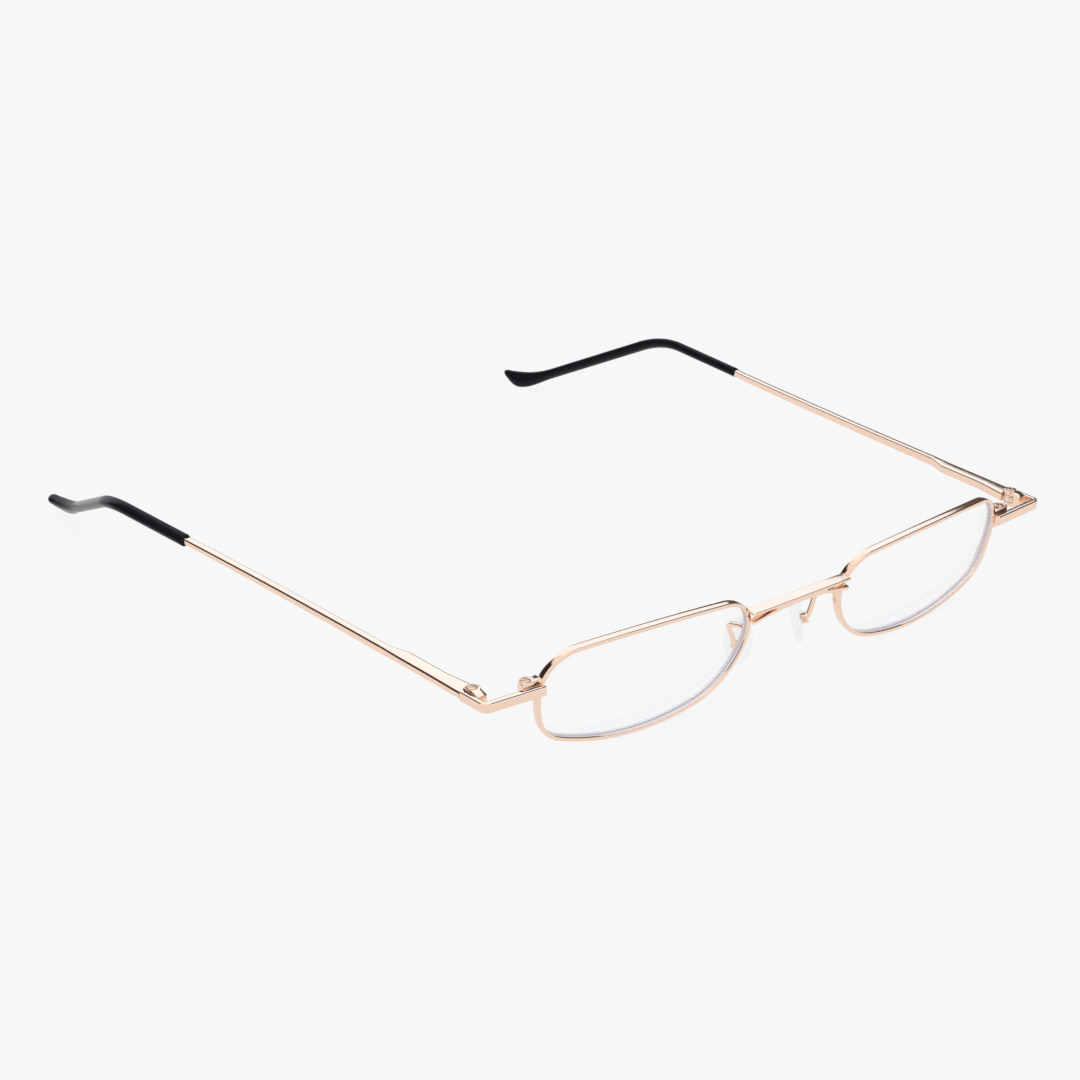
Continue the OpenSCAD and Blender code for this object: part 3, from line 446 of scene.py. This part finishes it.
def rounded_profile(corners):
    """Closed profile from (x, y, radius) corners, each rounded by a curve of four steps."""
    points = []
    for i, (x, y, r) in enumerate(corners):
        here = Vector((x, y))
        before = (Vector(corners[i - 1][:2]) - here).normalized()
        after = (Vector(corners[(i + 1) % len(corners)][:2]) - here).normalized()
        if r == 0:
            points.append(here)
            continue
        a, b = here + before * r, here + after * r
        points += [(1 - t) ** 2 * a + 2 * t * (1 - t) * here + t * t * b for t in spread(0.0, 1.0, 4)]
    return points


# Section of the wire: how far in from the rim's edge, how far behind its front, and the rounding
GROOVE_AT = RIM_D / 2 - GROOVE_W / 2
GROOVE_FLOOR = RIM_T - GROOVE
RIM_PROFILE = rounded_profile([
    (0.0, 0.0, 0.26), (0.0, RIM_D - SLOPE_LEN, 0.3), (SLOPE_IN, RIM_D, 0.14), (RIM_T, RIM_D, 0.13),
    (RIM_T, GROOVE_AT + GROOVE_W, 0.05), (GROOVE_FLOOR, GROOVE_AT + GROOVE_W, 0.0),
    (GROOVE_FLOOR, GROOVE_AT, 0.0), (RIM_T, GROOVE_AT, 0.05), (RIM_T, 0.0, 0.13)])


def rim_mesh(side):
    """Grooved wire swept round the lens, open at the slit of the rim lock."""
    outer = rim_outline(0.0)
    lines = [rim_outline(p.x) for p in RIM_PROFILE]
    slit_at = (SLIT_Z + RIM_DROP) / math.cos(RIM_TILT)
    outer_side = [i for i, p in enumerate(outer) if p.x > HALF_W * SLIT_SIDE]
    start = min(outer_side, key=lambda i: abs(outer[i].y - slit_at))
    rings = []
    for step in range(len(outer)):
        i = (start + 1 + step) % len(outer)
        rings.append([
            Vector((line[i].x, base_depth(line[i].x, p.y), line[i].y))
            for line, p in zip(lines, RIM_PROFILE)])
    gap = rings[0][0] - rings[-1][0]
    pull = gap.normalized() * max(0.0, gap.length / 2 - SLIT_HALF)
    rings[0] = [p - pull for p in rings[0]]
    rings[-1] = [p + pull for p in rings[-1]]
    verts, faces = loft(rings)
    return place(verts, side, IN_RIM), faces


def lens_front(u, v):
    return LENS_FRONT_R - math.sqrt(LENS_FRONT_R ** 2 - u * u - v * v)


def lens_back(u, v):
    return LENS_T + LENS_BACK_R - math.sqrt(LENS_BACK_R ** 2 - u * u - v * v)


def lens_mesh(side):
    """Two spherical faces and a bevelled edge in the rim's groove, and which faces are of the edge."""
    wide = rim_outline(RIM_T + LENS_PLAY)
    tongue = rim_outline(GROOVE_FLOOR + LENS_PLAY)
    lip_front = GROOVE_AT + LENS_PLAY
    lip_back = GROOVE_AT + GROOVE_W - LENS_PLAY
    shares = [k / LENS_RINGS for k in range(1, LENS_RINGS + 1)]
    rings = [[Vector((p.x * s, lens_front(p.x * s, p.y * s), p.y * s)) for p in wide] for s in shares]
    for line, depth in ((wide, lip_front), (tongue, lip_front), (tongue, lip_back), (wide, lip_back)):
        rings.append([Vector((p.x, base_depth(p.x, depth), p.y)) for p in line])
    edge_end = len(rings)
    for s in reversed(shares):
        rings.append([Vector((p.x * s, lens_back(p.x * s, p.y * s), p.y * s)) for p in wide])
    n = len(wide)
    verts, faces = loft(rings, caps=False)
    is_edge = [LENS_RINGS - 1 <= k // n < edge_end for k in range(len(faces))]
    for ring, depth in ((0, 0.0), (len(rings) - 1, LENS_T)):
        middle = len(verts)
        verts.append(Vector((0.0, depth, 0.0)))
        faces += [(ring * n + j, ring * n + (j + 1) % n, middle) for j in range(n)]
        is_edge += [False] * n
    return place(verts, side, IN_RIM), faces, is_edge


for name, side in SIDES.items():
    verts, faces = rim_mesh(side)
    wire = "eye_wire_" + name
    make_piece(wire, new_mesh(wire, verts, faces), LOFT_CREASE, GOLD, "front", "rim_" + name)
    verts, faces, is_edge = lens_mesh(side)
    lens = "clear_lens_" + name
    glass = make_piece(
        lens, new_mesh(lens, verts, faces), LOFT_CREASE, LENS, "front", "lens_" + name)
    glass.data.materials.append(LENS_EDGE)
    for polygon, edge in zip(glass.data.polygons, is_edge):
        polygon.material_index = int(edge)


# Sleeves. Distances run along the middle line from the end of the bar.

TIP_START = Vector((SIDE_X + BAR_BOW - NECK_T / 2, BAR_END, 0.0))
BEND_CUT = BEND_R * math.tan(TIP_BEND / 2)
HEEL_CUT = HEEL_R * math.tan(HEEL_BEND / 2)
BEND_FROM = TIP_STRAIGHT - BEND_CUT
BEND_TO = BEND_FROM + BEND_R * TIP_BEND
RISE_FROM = BEND_TO + TIP_DROP - BEND_CUT - HEEL_CUT
RISE_TO = RISE_FROM + HEEL_R * HEEL_BEND
TIP_LEN = RISE_TO + TOE_LEN
HEEL_AT = TIP_LEN - HEEL_BACK
SWELL_FROM = HEEL_AT - SWELL_LEN

# Rings of the mouth: distance and radius inside it, then distance and share of the size on its lip
MOUTH = ((0.9, 0.62), (0.25, 0.62), (0.06, 0.66))
LIP = ((0.05, 0.74), (0.06, 0.82), (0.12, 0.9), (0.24, 0.96), (0.42, 1.0))
LIP_END = LIP[-1][0]
# Points of a ring, steps along the sleeve, rings of the rounded toe and the angle between them
TIP_POINTS, TIP_STEPS, TOE_RINGS, TOE_TURN = 36, 110, 9, math.radians(9.6)
# Power of the section's curve: 1 is an ellipse, and less is nearer to a box
TIP_SOFTNESS = 0.8


def in_tip(name):
    """Matrix from the plane of a sleeve's bends to the front's frame, before the mirroring."""
    toe, lean = TIP_TURN[name]
    return (
        Matrix.Translation(TIP_START)
        @ Matrix.Rotation(math.radians(-toe), 4, "Z")
        @ Matrix.Rotation(math.radians(lean), 4, "Y"))


def tip_angle(s):
    """How far the middle line points down at distance s."""
    if s < BEND_TO:
        return max(0.0, s - BEND_FROM) / BEND_R
    if s < RISE_TO:
        return TIP_BEND - max(0.0, s - RISE_FROM) / HEEL_R
    return TIP_BEND - HEEL_BEND


def tip_point(s):
    """Point of the middle line at distance s, in the plane of the bends."""
    a = tip_angle(s)
    if s < BEND_FROM:
        return Vector((s, 0.0))
    if s < BEND_TO:
        return Vector((BEND_FROM + BEND_R * math.sin(a), BEND_R * (math.cos(a) - 1)))
    at = Vector((BEND_FROM + BEND_R * math.sin(TIP_BEND), BEND_R * (math.cos(TIP_BEND) - 1)))
    at += (min(s, RISE_FROM) - BEND_TO) * Vector((math.cos(TIP_BEND), -math.sin(TIP_BEND)))
    if s > RISE_FROM:
        at += HEEL_R * Vector((math.sin(TIP_BEND) - math.sin(a), math.cos(TIP_BEND) - math.cos(a)))
    if s > RISE_TO:
        at += (s - RISE_TO) * Vector((math.cos(a), -math.sin(a)))
    return at


def tip_lower(s):
    """Half thickness of the sleeve below its middle line."""
    if s < SWELL_FROM:
        return TIP_H / 2
    if s < HEEL_AT:
        return TIP_H / 2 + (HEEL_H - TIP_H) * math.cos((HEEL_AT - s) / SWELL_LEN * math.pi / 2) ** 2
    share = math.cos((s - HEEL_AT) / HEEL_BACK * math.pi / 2) ** 2
    return END_LOW + (HEEL_H - TIP_H / 2 - END_LOW) * share


def tip_upper(s):
    """Half thickness of the sleeve above its middle line."""
    return TIP_H / 2 + (END_HIGH - TIP_H / 2) * max(0.0, s - HEEL_AT) / HEEL_BACK


def tip_side(s):
    """Share of the sleeve's width that is left towards the toe."""
    share = min(1.0, max(0.0, (s - HEEL_AT + TAPER_AHEAD) / (HEEL_BACK + TAPER_AHEAD)))
    return 1.0 + (END_SIDE - 1.0) * share ** TAPER_POWER


def off_middle(s, out, up):
    """Point off the middle line at distance s, outwards and upwards."""
    a, at = tip_angle(s), tip_point(s)
    return Vector((out, at.x + up * math.sin(a), at.y + up * math.cos(a)))


def mouth_ring(s, radius):
    return [off_middle(s, radius * c, radius * d) for c, d in circle(TIP_POINTS)]


def tip_ring(s, size=1.0):
    """Ring of the sleeve's section at distance s, made smaller by size."""
    ring = []
    for c, d in circle(TIP_POINTS):
        out, up = (math.copysign(abs(k) ** TIP_SOFTNESS, k) for k in (c, d))
        high = tip_upper(s) if up > 0 else tip_lower(s)
        ring.append(off_middle(s, size * out * TIP_ACROSS / 2 * tip_side(s), size * up * high))
    return ring


def tip_mesh(name, side):
    """Sleeve lofted along its two bends, with a rounded mouth round the wire and a rounded toe."""
    toe = TIP_LEN - TOE_CUT - NOSE_LEN
    rings = [mouth_ring(s, radius) for s, radius in MOUTH]
    rings += [tip_ring(s, size) for s, size in LIP]
    rings += [tip_ring(s) for s in spread(LIP_END, toe, TIP_STEPS)[1:]]
    for i in range(1, TOE_RINGS + 1):
        rings.append(tip_ring(toe + NOSE_LEN * math.sin(TOE_TURN * i), math.cos(TOE_TURN * i)))
    verts, faces = loft(rings)
    return place(verts, side, in_tip(name)), faces


for name, side in SIDES.items():
    sleeve = "ear_sleeve_" + name
    mesh = new_mesh(sleeve, *tip_mesh(name, side))
    make_piece(sleeve, mesh, SLEEVE_CREASE, SLEEVE, "temple_" + name, "temple_tip_" + name)


# Pad arms and nose pads

RIM_BACK_Y = RIM_SAG - HALF_W * math.sin(RIM_WRAP) - RIM_AHEAD + RIM_D
ARM_START = Vector((
    (RIM_GAP + ARM_D) / 2,
    RIM_BACK_Y - (ARM_START_Z + RIM_DROP) * math.tan(RIM_TILT),
    ARM_START_Z))
IN_PAD = (
    Matrix.Translation(PAD_AT)
    @ Matrix.Rotation(-PAD_SPLAY, 4, "Z")
    @ Matrix.Rotation(-PAD_FLARE, 4, "Y"))
ARM_END = IN_PAD @ Vector((ARM_REACH, 0.0, 0.0))
# Steps round the arm's elbow, and points round its wire
ELBOW_STEPS, WIRE_POINTS = 14, 20
# Size of the cells that a pad's skin is rebuilt from, and rounds and strength of its smoothing
PAD_CELL, PAD_ROUNDS, PAD_RELAX = 0.11, 6, 0.5


def swept_wire(points, radius):
    """Rings of a round wire through points that lie in one plane."""
    middle = points[len(points) // 2]
    side_way = (middle - points[0]).cross(points[-1] - middle).normalized()
    rings = []
    for i, p in enumerate(points):
        way = (points[min(i + 1, len(points) - 1)] - points[max(i - 1, 0)]).normalized()
        up = side_way.cross(way).normalized()
        rings.append([p + radius * (c * side_way + d * up) for c, d in circle(WIRE_POINTS)])
    return rings


def arm_mesh(side):
    """Bent wire from the back of the rim to the pad's box."""
    a = ARM_BEND + ARM_TURN * (ARM_START - ARM_BEND).normalized()
    b = ARM_BEND + ARM_TURN * (ARM_END - ARM_BEND).normalized()
    elbow = [(1 - u) ** 2 * a + 2 * u * (1 - u) * ARM_BEND + u * u * b for u in spread(0.0, 1.0, ELBOW_STEPS)]
    rings = swept_wire([ARM_START, *elbow, ARM_END], ARM_D / 2)
    # The first ring is moved along the wire onto the sloping back of the rim, and into it by the weld
    way = (ARM_BEND - ARM_START).normalized()
    slope = math.tan(RIM_TILT)
    for j, p in enumerate(rings[0]):
        weld_y = ARM_START.y - ARM_WELD - (p.z - ARM_START.z) * slope
        rings[0][j] = p + way * (weld_y - p.y) / (way.y + way.z * slope)
    verts, faces = loft(rings)
    return place(verts, side), faces


def moulded(node, body, mat):
    """A copy of a CAD node with a moulded skin, rebuilt evenly and smoothed."""
    tool = link(bpy.data.objects.new(node + "_tool", node_mesh(node, mat)))
    remesh = tool.modifiers.new("skin", "REMESH")
    remesh.mode = "VOXEL"
    remesh.voxel_size = PAD_CELL
    relax = tool.modifiers.new("relax", "SMOOTH")
    relax.factor = PAD_RELAX
    relax.iterations = PAD_ROUNDS
    make_piece(node + "_piece", applied(tool), PAD_CREASE, mat, body, node)


for name, side in SIDES.items():
    arm = "pad_wire_" + name
    mesh = new_mesh(arm, *arm_mesh(side))
    make_piece(arm, mesh, LOFT_CREASE, GOLD, "front", "pad_arm_" + name)
    moulded("nose_pad_" + name, "pad_" + name, PAD)


# Metal pieces that keep the shape of their node and get rounded edges

# Shares of the rounding that are tried, from the widest, until none of it sticks out of the piece
EDGE_SHARES = (1.0, 0.8, 0.6, 0.45, 0.3, 0.2, 0.12, 0.06)
# How far a point may stray out of the piece's box, and how much its area may grow
STRAY, GROWTH = 0.004, 1.01
# Angles in degrees: faces flatter than the first are joined, edges sharper than the second are rounded
FLAT_ANGLE, EDGE_ANGLE = 0.7, 28.0


def shorter_lock(bm):
    """Draws the lower end of a rim lock, or of its screw, up behind the endpiece."""
    back = FRONT.inverted()
    for vert in bm.verts:
        at = back @ vert.co
        if at.z < LOCK_CUT:
            at.z += LOCK_LIFT
            vert.co = FRONT @ at


def ramped_leaf(bm):
    """Slopes the front end of a hinge leaf down to the endpiece."""
    back = FRONT.inverted()
    for vert in bm.verts:
        at = back @ vert.co
        if at.y < LEAF_RAMP_Y:
            at.z = min(BAR_TOP, max(BAR_LOW, at.z))
            vert.co = FRONT @ at


def bevelled(mesh, width, segments):
    """A copy of the mesh with its sharp edges rounded by width."""
    tool = link(bpy.data.objects.new("bevel_tool", mesh))
    bevel = tool.modifiers.new("edges", "BEVEL")
    bevel.width = width
    bevel.segments = segments
    bevel.limit_method = "ANGLE"
    bevel.angle_limit = math.radians(EDGE_ANGLE)
    bevel.use_clamp_overlap = False
    return applied(tool)


def mesh_reach(mesh):
    """Lowest and highest corner and the area of a mesh."""
    low = [min(v.co[k] for v in mesh.vertices) for k in range(3)]
    high = [max(v.co[k] for v in mesh.vertices) for k in range(3)]
    return low, high, sum(p.area for p in mesh.polygons)


def softened(node, width, mat, body, segments=2, merge=0.06, shape=None):
    """A copy of a CAD node with its edges rounded by width, less where that would stick out.

    Points closer than merge are joined first, and shape may move the points that are left."""
    mesh = node_mesh(node, mat)
    bm = bmesh.new()
    bm.from_mesh(mesh)
    bmesh.ops.remove_doubles(bm, verts=bm.verts, dist=merge)
    bmesh.ops.dissolve_limit(bm, angle_limit=math.radians(FLAT_ANGLE), verts=bm.verts, edges=bm.edges)
    if shape:
        shape(bm)
    bm.to_mesh(mesh)
    bm.free()
    low, high, area = mesh_reach(mesh)
    for share in EDGE_SHARES:
        shaped = bevelled(mesh, width * share, segments)
        new_low, new_high, new_area = mesh_reach(shaped)
        inside = all(new_low[k] > low[k] - STRAY and new_high[k] < high[k] + STRAY for k in range(3))
        if inside and new_area < area * GROWTH:
            break
    make_piece(node + "_piece", shaped, METAL_CREASE, mat, body, node)


softened("bridge", BRIDGE_EDGE, GOLD, "front", 3)
for name in SIDES:
    softened("rim_lock_upper_" + name, LOCK_EDGE, GOLD, "front", 3)
    softened("rim_lock_lower_" + name, LOCK_EDGE, GOLD, "front", 3, shape=shorter_lock)
    softened("rim_lock_screw_" + name, SCREW_EDGE, GOLD_DARK, "front", shape=shorter_lock)
    softened("hinge_leaf_" + name, LEAF_EDGE, GOLD, "front", merge=0.1, shape=ramped_leaf)
    softened("hinge_screw_" + name, SCREW_EDGE, GOLD_DARK, "front")
    softened("hinge_slider_" + name, SLIDER_EDGE, STEEL, "slider_" + name)
    softened("pad_box_" + name, BOX_EDGE, GOLD, "front")
    softened("pad_screw_" + name, PAD_SCREW_EDGE, GOLD_DARK, "front")
    # What the housing holds stays as the model has it
    for node in ("slider_nut_", "spring_bush_", "hinge_spring_"):
        inner = frame["nodes"][node + name]
        inner.data.materials.clear()
        inner.data.materials.append(STEEL)


# Bars, spring housings and endpieces

HOUSING_START, HOUSING_END = HINGE_Y + HOUSING_FROM, HINGE_Y + HOUSING_TO
# How far back, and how wide the bar and its housing are together there
HOUSING_WIDTHS = [
    (HOUSING_START, 3.4), (HINGE_Y + 1.8, 3.4), (HINGE_Y + 3.4, 3.2), (HINGE_Y + 7.4, 2.7),
    (BORE_END, 2.65), (HOUSING_END, BAR_T)]
# Powers of the sections' curves: 2 is an ellipse, and more is nearer to a box
OUTER_POWER, INNER_POWER, END_POWER = 3.0, 6.5, 4.4
# Points of a section, and half its angle when it is whole, with a narrow seam
SECTION_POINTS, FULL_TURN = 44, math.pi - 0.02
# Rings of the bar beside its housing and behind it, of the housing, and of the endpiece's three stretches
BESIDE_RINGS, BEHIND_RINGS, HOUSING_RINGS = 44, 90, 60
ARM_RINGS, CORNER_RINGS, LEG_RINGS = 24, 14, 10
# How far the endpiece's rings stay clear of the corner on either side of it
ARM_CLEAR, LEG_CLEAR = 0.4, 0.25
# Gap between the ends of housing and bar, points of the cutters, and the distance at which points are joined
HOUSING_PLAY, RELIEF_POINTS, BORE_POINTS, JOIN = 0.02, 48, 24, 0.0005


def bar_outer(y):
    """How far out the bar's outer face is."""
    return SIDE_X + BAR_BOW * (max(0.0, y - BOW_START) / (BAR_END - BOW_START)) ** 2


def bar_levels(y):
    """Lower and upper edge of the bar, which narrows towards its neck."""
    share = (y - HINGE_Y) / (BAR_END - HINGE_Y)
    low = BAR_LOW + (-BAR_LOW - NECK_T / 2) * share
    return low, BAR_TOP + (NECK_T / 2 - BAR_TOP) * share


def bar_width(y):
    """Thickness of the bar, with its housing where it has one."""
    for (y0, w0), (y1, w1) in zip(HOUSING_WIDTHS, HOUSING_WIDTHS[1:]):
        if y <= y1:
            return w0 + (w1 - w0) * max(0.0, y - y0) / (y1 - y0)
    if y < BAR_END - NECK_LEN:
        return BAR_T
    return NECK_T + (BAR_T - NECK_T) * (BAR_END - y) / NECK_LEN


def soft_section(half_a, half_b, outer_power, inner_power, first, last):
    """Part of a rounded box outline between two angles round its middle. Each side has its own power."""
    points = []
    for a in spread(first, last, SECTION_POINTS - 1):
        c, d = math.cos(a), math.sin(a)
        power = inner_power if c < 0 else outer_power
        points.append((
            half_a * math.copysign(abs(c) ** (2 / power), c),
            half_b * math.copysign(abs(d) ** (2 / power), d)))
    return points


def split_angle(at, half, power):
    """Angle at which the outline of soft_section reaches the distance at from its middle."""
    share = max(-1.0, min(1.0, at / half))
    return math.acos(math.copysign(abs(share) ** (power / 2), share))


def bar_rings(ys, part):
    """Rings across the bar: its outer part beside the housing, the housing's part, or the whole bar."""
    rings = []
    for y in ys:
        low, high = bar_levels(y)
        half = bar_width(y) / 2
        middle = bar_outer(y) - half
        edge = LEG_IN - middle
        power = INNER_POWER if edge < 0 else OUTER_POWER
        cut = FULL_TURN if part == "whole" else split_angle(edge, half, power)
        first, last = (cut, 2 * math.pi - cut) if part == "housing" else (-cut, cut)
        section = soft_section(half, (high - low) / 2, OUTER_POWER, INNER_POWER, first, last)
        rings.append([Vector((middle + x, y, (low + high) / 2 + z)) for x, z in section])
    return rings


def bar_shape():
    rings = bar_rings(spread(BAR_START, HOUSING_END, BESIDE_RINGS), "outer")
    rings += bar_rings(spread(HOUSING_END, BAR_END, BEHIND_RINGS), "whole")
    return loft(rings)


def housing_shape():
    return loft(bar_rings(spread(HOUSING_START, HOUSING_END - HOUSING_PLAY, HOUSING_RINGS), "housing"))


END_X = RIM_X + HALF_W * math.cos(RIM_WRAP) - LAP_W
END_Y = (
    HALF_W * math.sin(RIM_WRAP) + RIM_SAG - RIM_AHEAD
    - (HINGE_AT.z + RIM_DROP) * math.tan(RIM_TILT) - LAP_T)
SWEEP = math.atan2(CORNER_Y - END_Y, SIDE_X - END_X)


def front_face(x):
    """How far back the endpiece's front face is."""
    return END_Y + (x - END_X) * math.tan(SWEEP)


def endpiece_shape():
    """Bar bent through the corner, from pairs of an outer and an inner point across it."""
    thick = ENDPIECE_T / math.cos(SWEEP)
    inner_corner = Vector((LEG_IN, front_face(LEG_IN) + thick))
    middle_x = SIDE_X - CORNER_R
    middle = Vector((middle_x, front_face(middle_x) + CORNER_R / math.cos(SWEEP)))
    first = SWEEP - math.pi / 2
    arc = [middle + CORNER_R * Vector((math.cos(a), math.sin(a))) for a in spread(first, 0.0, CORNER_RINGS)]
    pairs = [
        (Vector((x, front_face(x))), Vector((x, front_face(x) + thick)))
        for x in spread(END_X, arc[0].x - ARM_CLEAR, ARM_RINGS)]
    pairs += [(point, inner_corner) for point in arc]
    leg_from = max(middle.y, inner_corner.y) + LEG_CLEAR
    pairs += [(Vector((SIDE_X, y)), Vector((LEG_IN, y))) for y in spread(leg_from, LEG_END, LEG_RINGS)]
    rings = []
    for outer, inner in pairs:
        at, out = (outer + inner) / 2, outer - inner
        section = soft_section(out.length / 2, BAR_H / 2, END_POWER, END_POWER, -FULL_TURN, FULL_TURN)
        out.normalize()
        rings.append([Vector((at.x + out.x * a, at.y + out.y * a, HINGE_AT.z + z)) for a, z in section])
    return loft(rings)


def turned(radius, middle, axis, length, count):
    """Points and faces of a round cutter about a middle, along an axis."""
    axis = Vector(axis).normalized()
    a = axis.orthogonal().normalized()
    b = axis.cross(a)
    rings = []
    for end in (-0.5, 0.5):
        at = Vector(middle) + axis * length * end
        rings.append([at + radius * (c * a + d * b) for c, d in circle(count)])
    return loft(rings)


def solid(name, verts, faces, side):
    """An object in millimetres for the cutting, with points that fall together joined."""
    mesh = bpy.data.meshes.new(name)
    mesh.from_pydata([tuple(v) for v in place(verts, side)], [], faces)
    bm = bmesh.new()
    bm.from_mesh(mesh)
    bmesh.ops.remove_doubles(bm, verts=bm.verts, dist=JOIN)
    bmesh.ops.recalc_face_normals(bm, faces=bm.faces)
    bm.to_mesh(mesh)
    bm.free()
    return link(bpy.data.objects.new(name, mesh))


def carved(name, shape, cutters, side, body, node):
    """A gold piece lofted in the front's frame, less its round cutters."""
    work = solid(name + "_work", *shape, side)
    tools = [solid("%s_cutter_%d" % (name, i), *cutter, side) for i, cutter in enumerate(cutters)]
    for tool in tools:
        cut = work.modifiers.new(tool.name, "BOOLEAN")
        cut.operation = "DIFFERENCE"
        cut.solver = "EXACT"
        cut.object = tool
    make_piece(name, applied(work, *tools), METAL_CREASE, GOLD, body, node)


BORE_MID = (HINGE_AT.x, (HINGE_Y + BORE_END) / 2, HINGE_AT.z)
for name, side in SIDES.items():
    pin = (math.sin(HINGE_LEAN * side), 0.0, math.cos(HINGE_LEAN * side))
    bar_room = turned(RELIEF_R, HINGE_AT, pin, BAR_RELIEF_H, RELIEF_POINTS)
    leg_room = turned(RELIEF_R, HINGE_AT, pin, LEG_RELIEF_H, RELIEF_POINTS)
    bore = turned(BORE_D / 2, BORE_MID, (0, 1, 0), BORE_END - HINGE_Y, BORE_POINTS)
    temple = "temple_" + name
    carved("bar_" + name, bar_shape(), [bar_room], side, temple, "temple_bar_" + name)
    carved("housing_" + name, housing_shape(), [bar_room, bore], side, temple, "spring_housing_" + name)
    carved("corner_" + name, endpiece_shape(), [leg_room], side, "front", "endpiece_" + name)


# Floor, light and camera

FLOOR_HALF = 1.6
LAMP_AT, LAMP_SIZE, LAMP_WATTS = (-0.05, -0.05, 0.75), 0.5, 3.0
# Colours of the tent, over 1 where it is brighter than white: the wall behind the glasses, the rest of
# it, and the ceiling with the heights between which it begins
WALL_BEHIND, WALL_REST = (1.12, 1.3, 1.46, 1.0), (1.0, 0.98, 0.96, 1.0)
CEILING, CEILING_HEIGHTS = (1.16, 1.17, 1.16, 1.0), (0.86, 0.93)
# First and last turn of the wall behind and how soft each is, in degrees
BEHIND_TURNS = (-14, 170, 3, 5)
# The edge of the second gap: degrees that it turns for a height of 1, and its turn at one height
GAP_SKEW, GAP_EDGE, GAP_EDGE_HEIGHT = 87.0, 48.4, 0.385
# Dark gaps in the wall: whether skewed, turns as above, heights between which each ends, and colour
GAPS = (
    (False, (32, 75, 12, 5), (0.29, 0.34), (0.1, 0.08, 0.065, 1.0)),
    (True, (GAP_EDGE - GAP_SKEW * GAP_EDGE_HEIGHT, 112, 0.6, 10), (0.85, 0.9), (0.11, 0.085, 0.07, 1.0)),
    (False, (-66, -12, 4, 2), (0.62, 0.71), (0.035, 0.03, 0.027, 1.0)))


def make_floor():
    """A pale floor that is nearly all its own light, so that it stays even."""
    mat, nodes = new_material("pale_floor")
    cloud = nodes.noise(nodes.where(), 3.0, 2.0)
    paper = nodes.shader("ShaderNodeBsdfDiffuse", {
        "Color": nodes.ramp(cloud, (0.3, (0.86, 0.86, 0.86)), (0.7, (0.88, 0.88, 0.88)))})
    glow = nodes.shader("ShaderNodeEmission", {"Color": (1.0, 1.0, 1.0, 1.0), "Strength": 0.925})
    nodes.surface(nodes.mixed(0.96, paper, glow))
    mesh = bpy.data.meshes.new("floor")
    corners = [(x * FLOOR_HALF, y * FLOOR_HALF, 0) for x, y in ((-1, -1), (1, -1), (1, 1), (-1, 1))]
    mesh.from_pydata(corners, [], [(0, 1, 2, 3)])
    mesh.materials.append(mat)
    link(bpy.data.objects.new("floor", mesh))


def make_world():
    """A light tent: a bright cool wall behind the glasses, dark gaps in its sides and a bright ceiling.

    A direction is told by its turn round the Z axis and by its height, which is 1 straight up."""
    world = bpy.data.worlds.new("tent")
    bpy.context.scene.world = world
    world.use_nodes = True
    nodes = Nodes(world.node_tree)
    way = nodes.add("ShaderNodeTexCoord").outputs["Generated"]
    parts = nodes.add("ShaderNodeSeparateXYZ", {"Vector": way}).outputs
    height = parts["Z"]
    turn = nodes.calc("ARCTAN2", parts["X"], parts["Y"])
    skewed = nodes.calc("SUBTRACT", turn, nodes.calc("MULTIPLY", height, math.radians(GAP_SKEW)))

    def window(value, turns):
        """1 between two turns and 0 outside them."""
        low, high, soft_low, soft_high = (math.radians(a) for a in turns)
        rise = nodes.band(value, low - soft_low, low + soft_low)
        return nodes.calc("MULTIPLY", rise, nodes.band(value, high - soft_high, high + soft_high, 1.0, 0.0))

    def blend(share, below, above):
        # A colour mix has its factor at input 0, its colours at 6 and 7 and its result at output 2
        return nodes.add("ShaderNodeMix", {0: share, 6: below, 7: above}, data_type="RGBA").outputs[2]

    colour = blend(window(turn, BEHIND_TURNS), WALL_REST, WALL_BEHIND)
    for is_skewed, turns, heights, shade in GAPS:
        share = window(skewed if is_skewed else turn, turns)
        colour = blend(nodes.calc("MULTIPLY", share, nodes.band(height, *heights, 1.0, 0.0)), colour, shade)
    colour = blend(nodes.band(height, *CEILING_HEIGHTS), colour, CEILING)
    nodes.surface(nodes.shader("ShaderNodeBackground", {"Color": colour}), "ShaderNodeOutputWorld")


def make_light():
    """A soft lamp over the glasses, which their metal doesn't mirror."""
    data = bpy.data.lights.new("ceiling_box", "AREA")
    data.shape = "RECTANGLE"
    data.size, data.size_y = LAMP_SIZE, LAMP_SIZE
    data.energy = LAMP_WATTS
    lamp = link(bpy.data.objects.new("ceiling_box", data))
    lamp.location = LAMP_AT
    lamp.visible_glossy = False


# The camera in the front's frame: its place, and how far it is turned to the right, dipped and rolled,
# in degrees. Its focal length is in pixels of a frame that is FRAME_PX wide.
EYE = Vector((-335.8206, -324.4959, 218.3921))
VIEW_TURN, VIEW_DIP, VIEW_ROLL = 40.85737, 24.19826, 1.04049
FOCAL_PX, FRAME_PX, SENSOR_MM = 3000.0, 1080.0, 36.0


def make_camera():
    data = bpy.data.cameras.new("camera")
    data.sensor_width = SENSOR_MM
    data.lens = FOCAL_PX / FRAME_PX * SENSOR_MM
    data.clip_start, data.clip_end = 0.01, 20.0
    pose = (
        FRONT @ Matrix.Translation(EYE)
        @ Matrix.Rotation(math.radians(-VIEW_TURN), 4, "Z")
        @ Matrix.Rotation(math.radians(90.0 - VIEW_DIP), 4, "X")
        @ Matrix.Rotation(math.radians(VIEW_ROLL), 4, "Z"))
    pose.translation = pose.translation * MM
    camera = link(bpy.data.objects.new("camera", data))
    camera.matrix_world = pose
    bpy.context.scene.camera = camera


make_floor()
make_world()
make_light()
make_camera()
bpy.context.scene.view_settings.view_transform = "Standard"

bpy.context.view_layer.update()
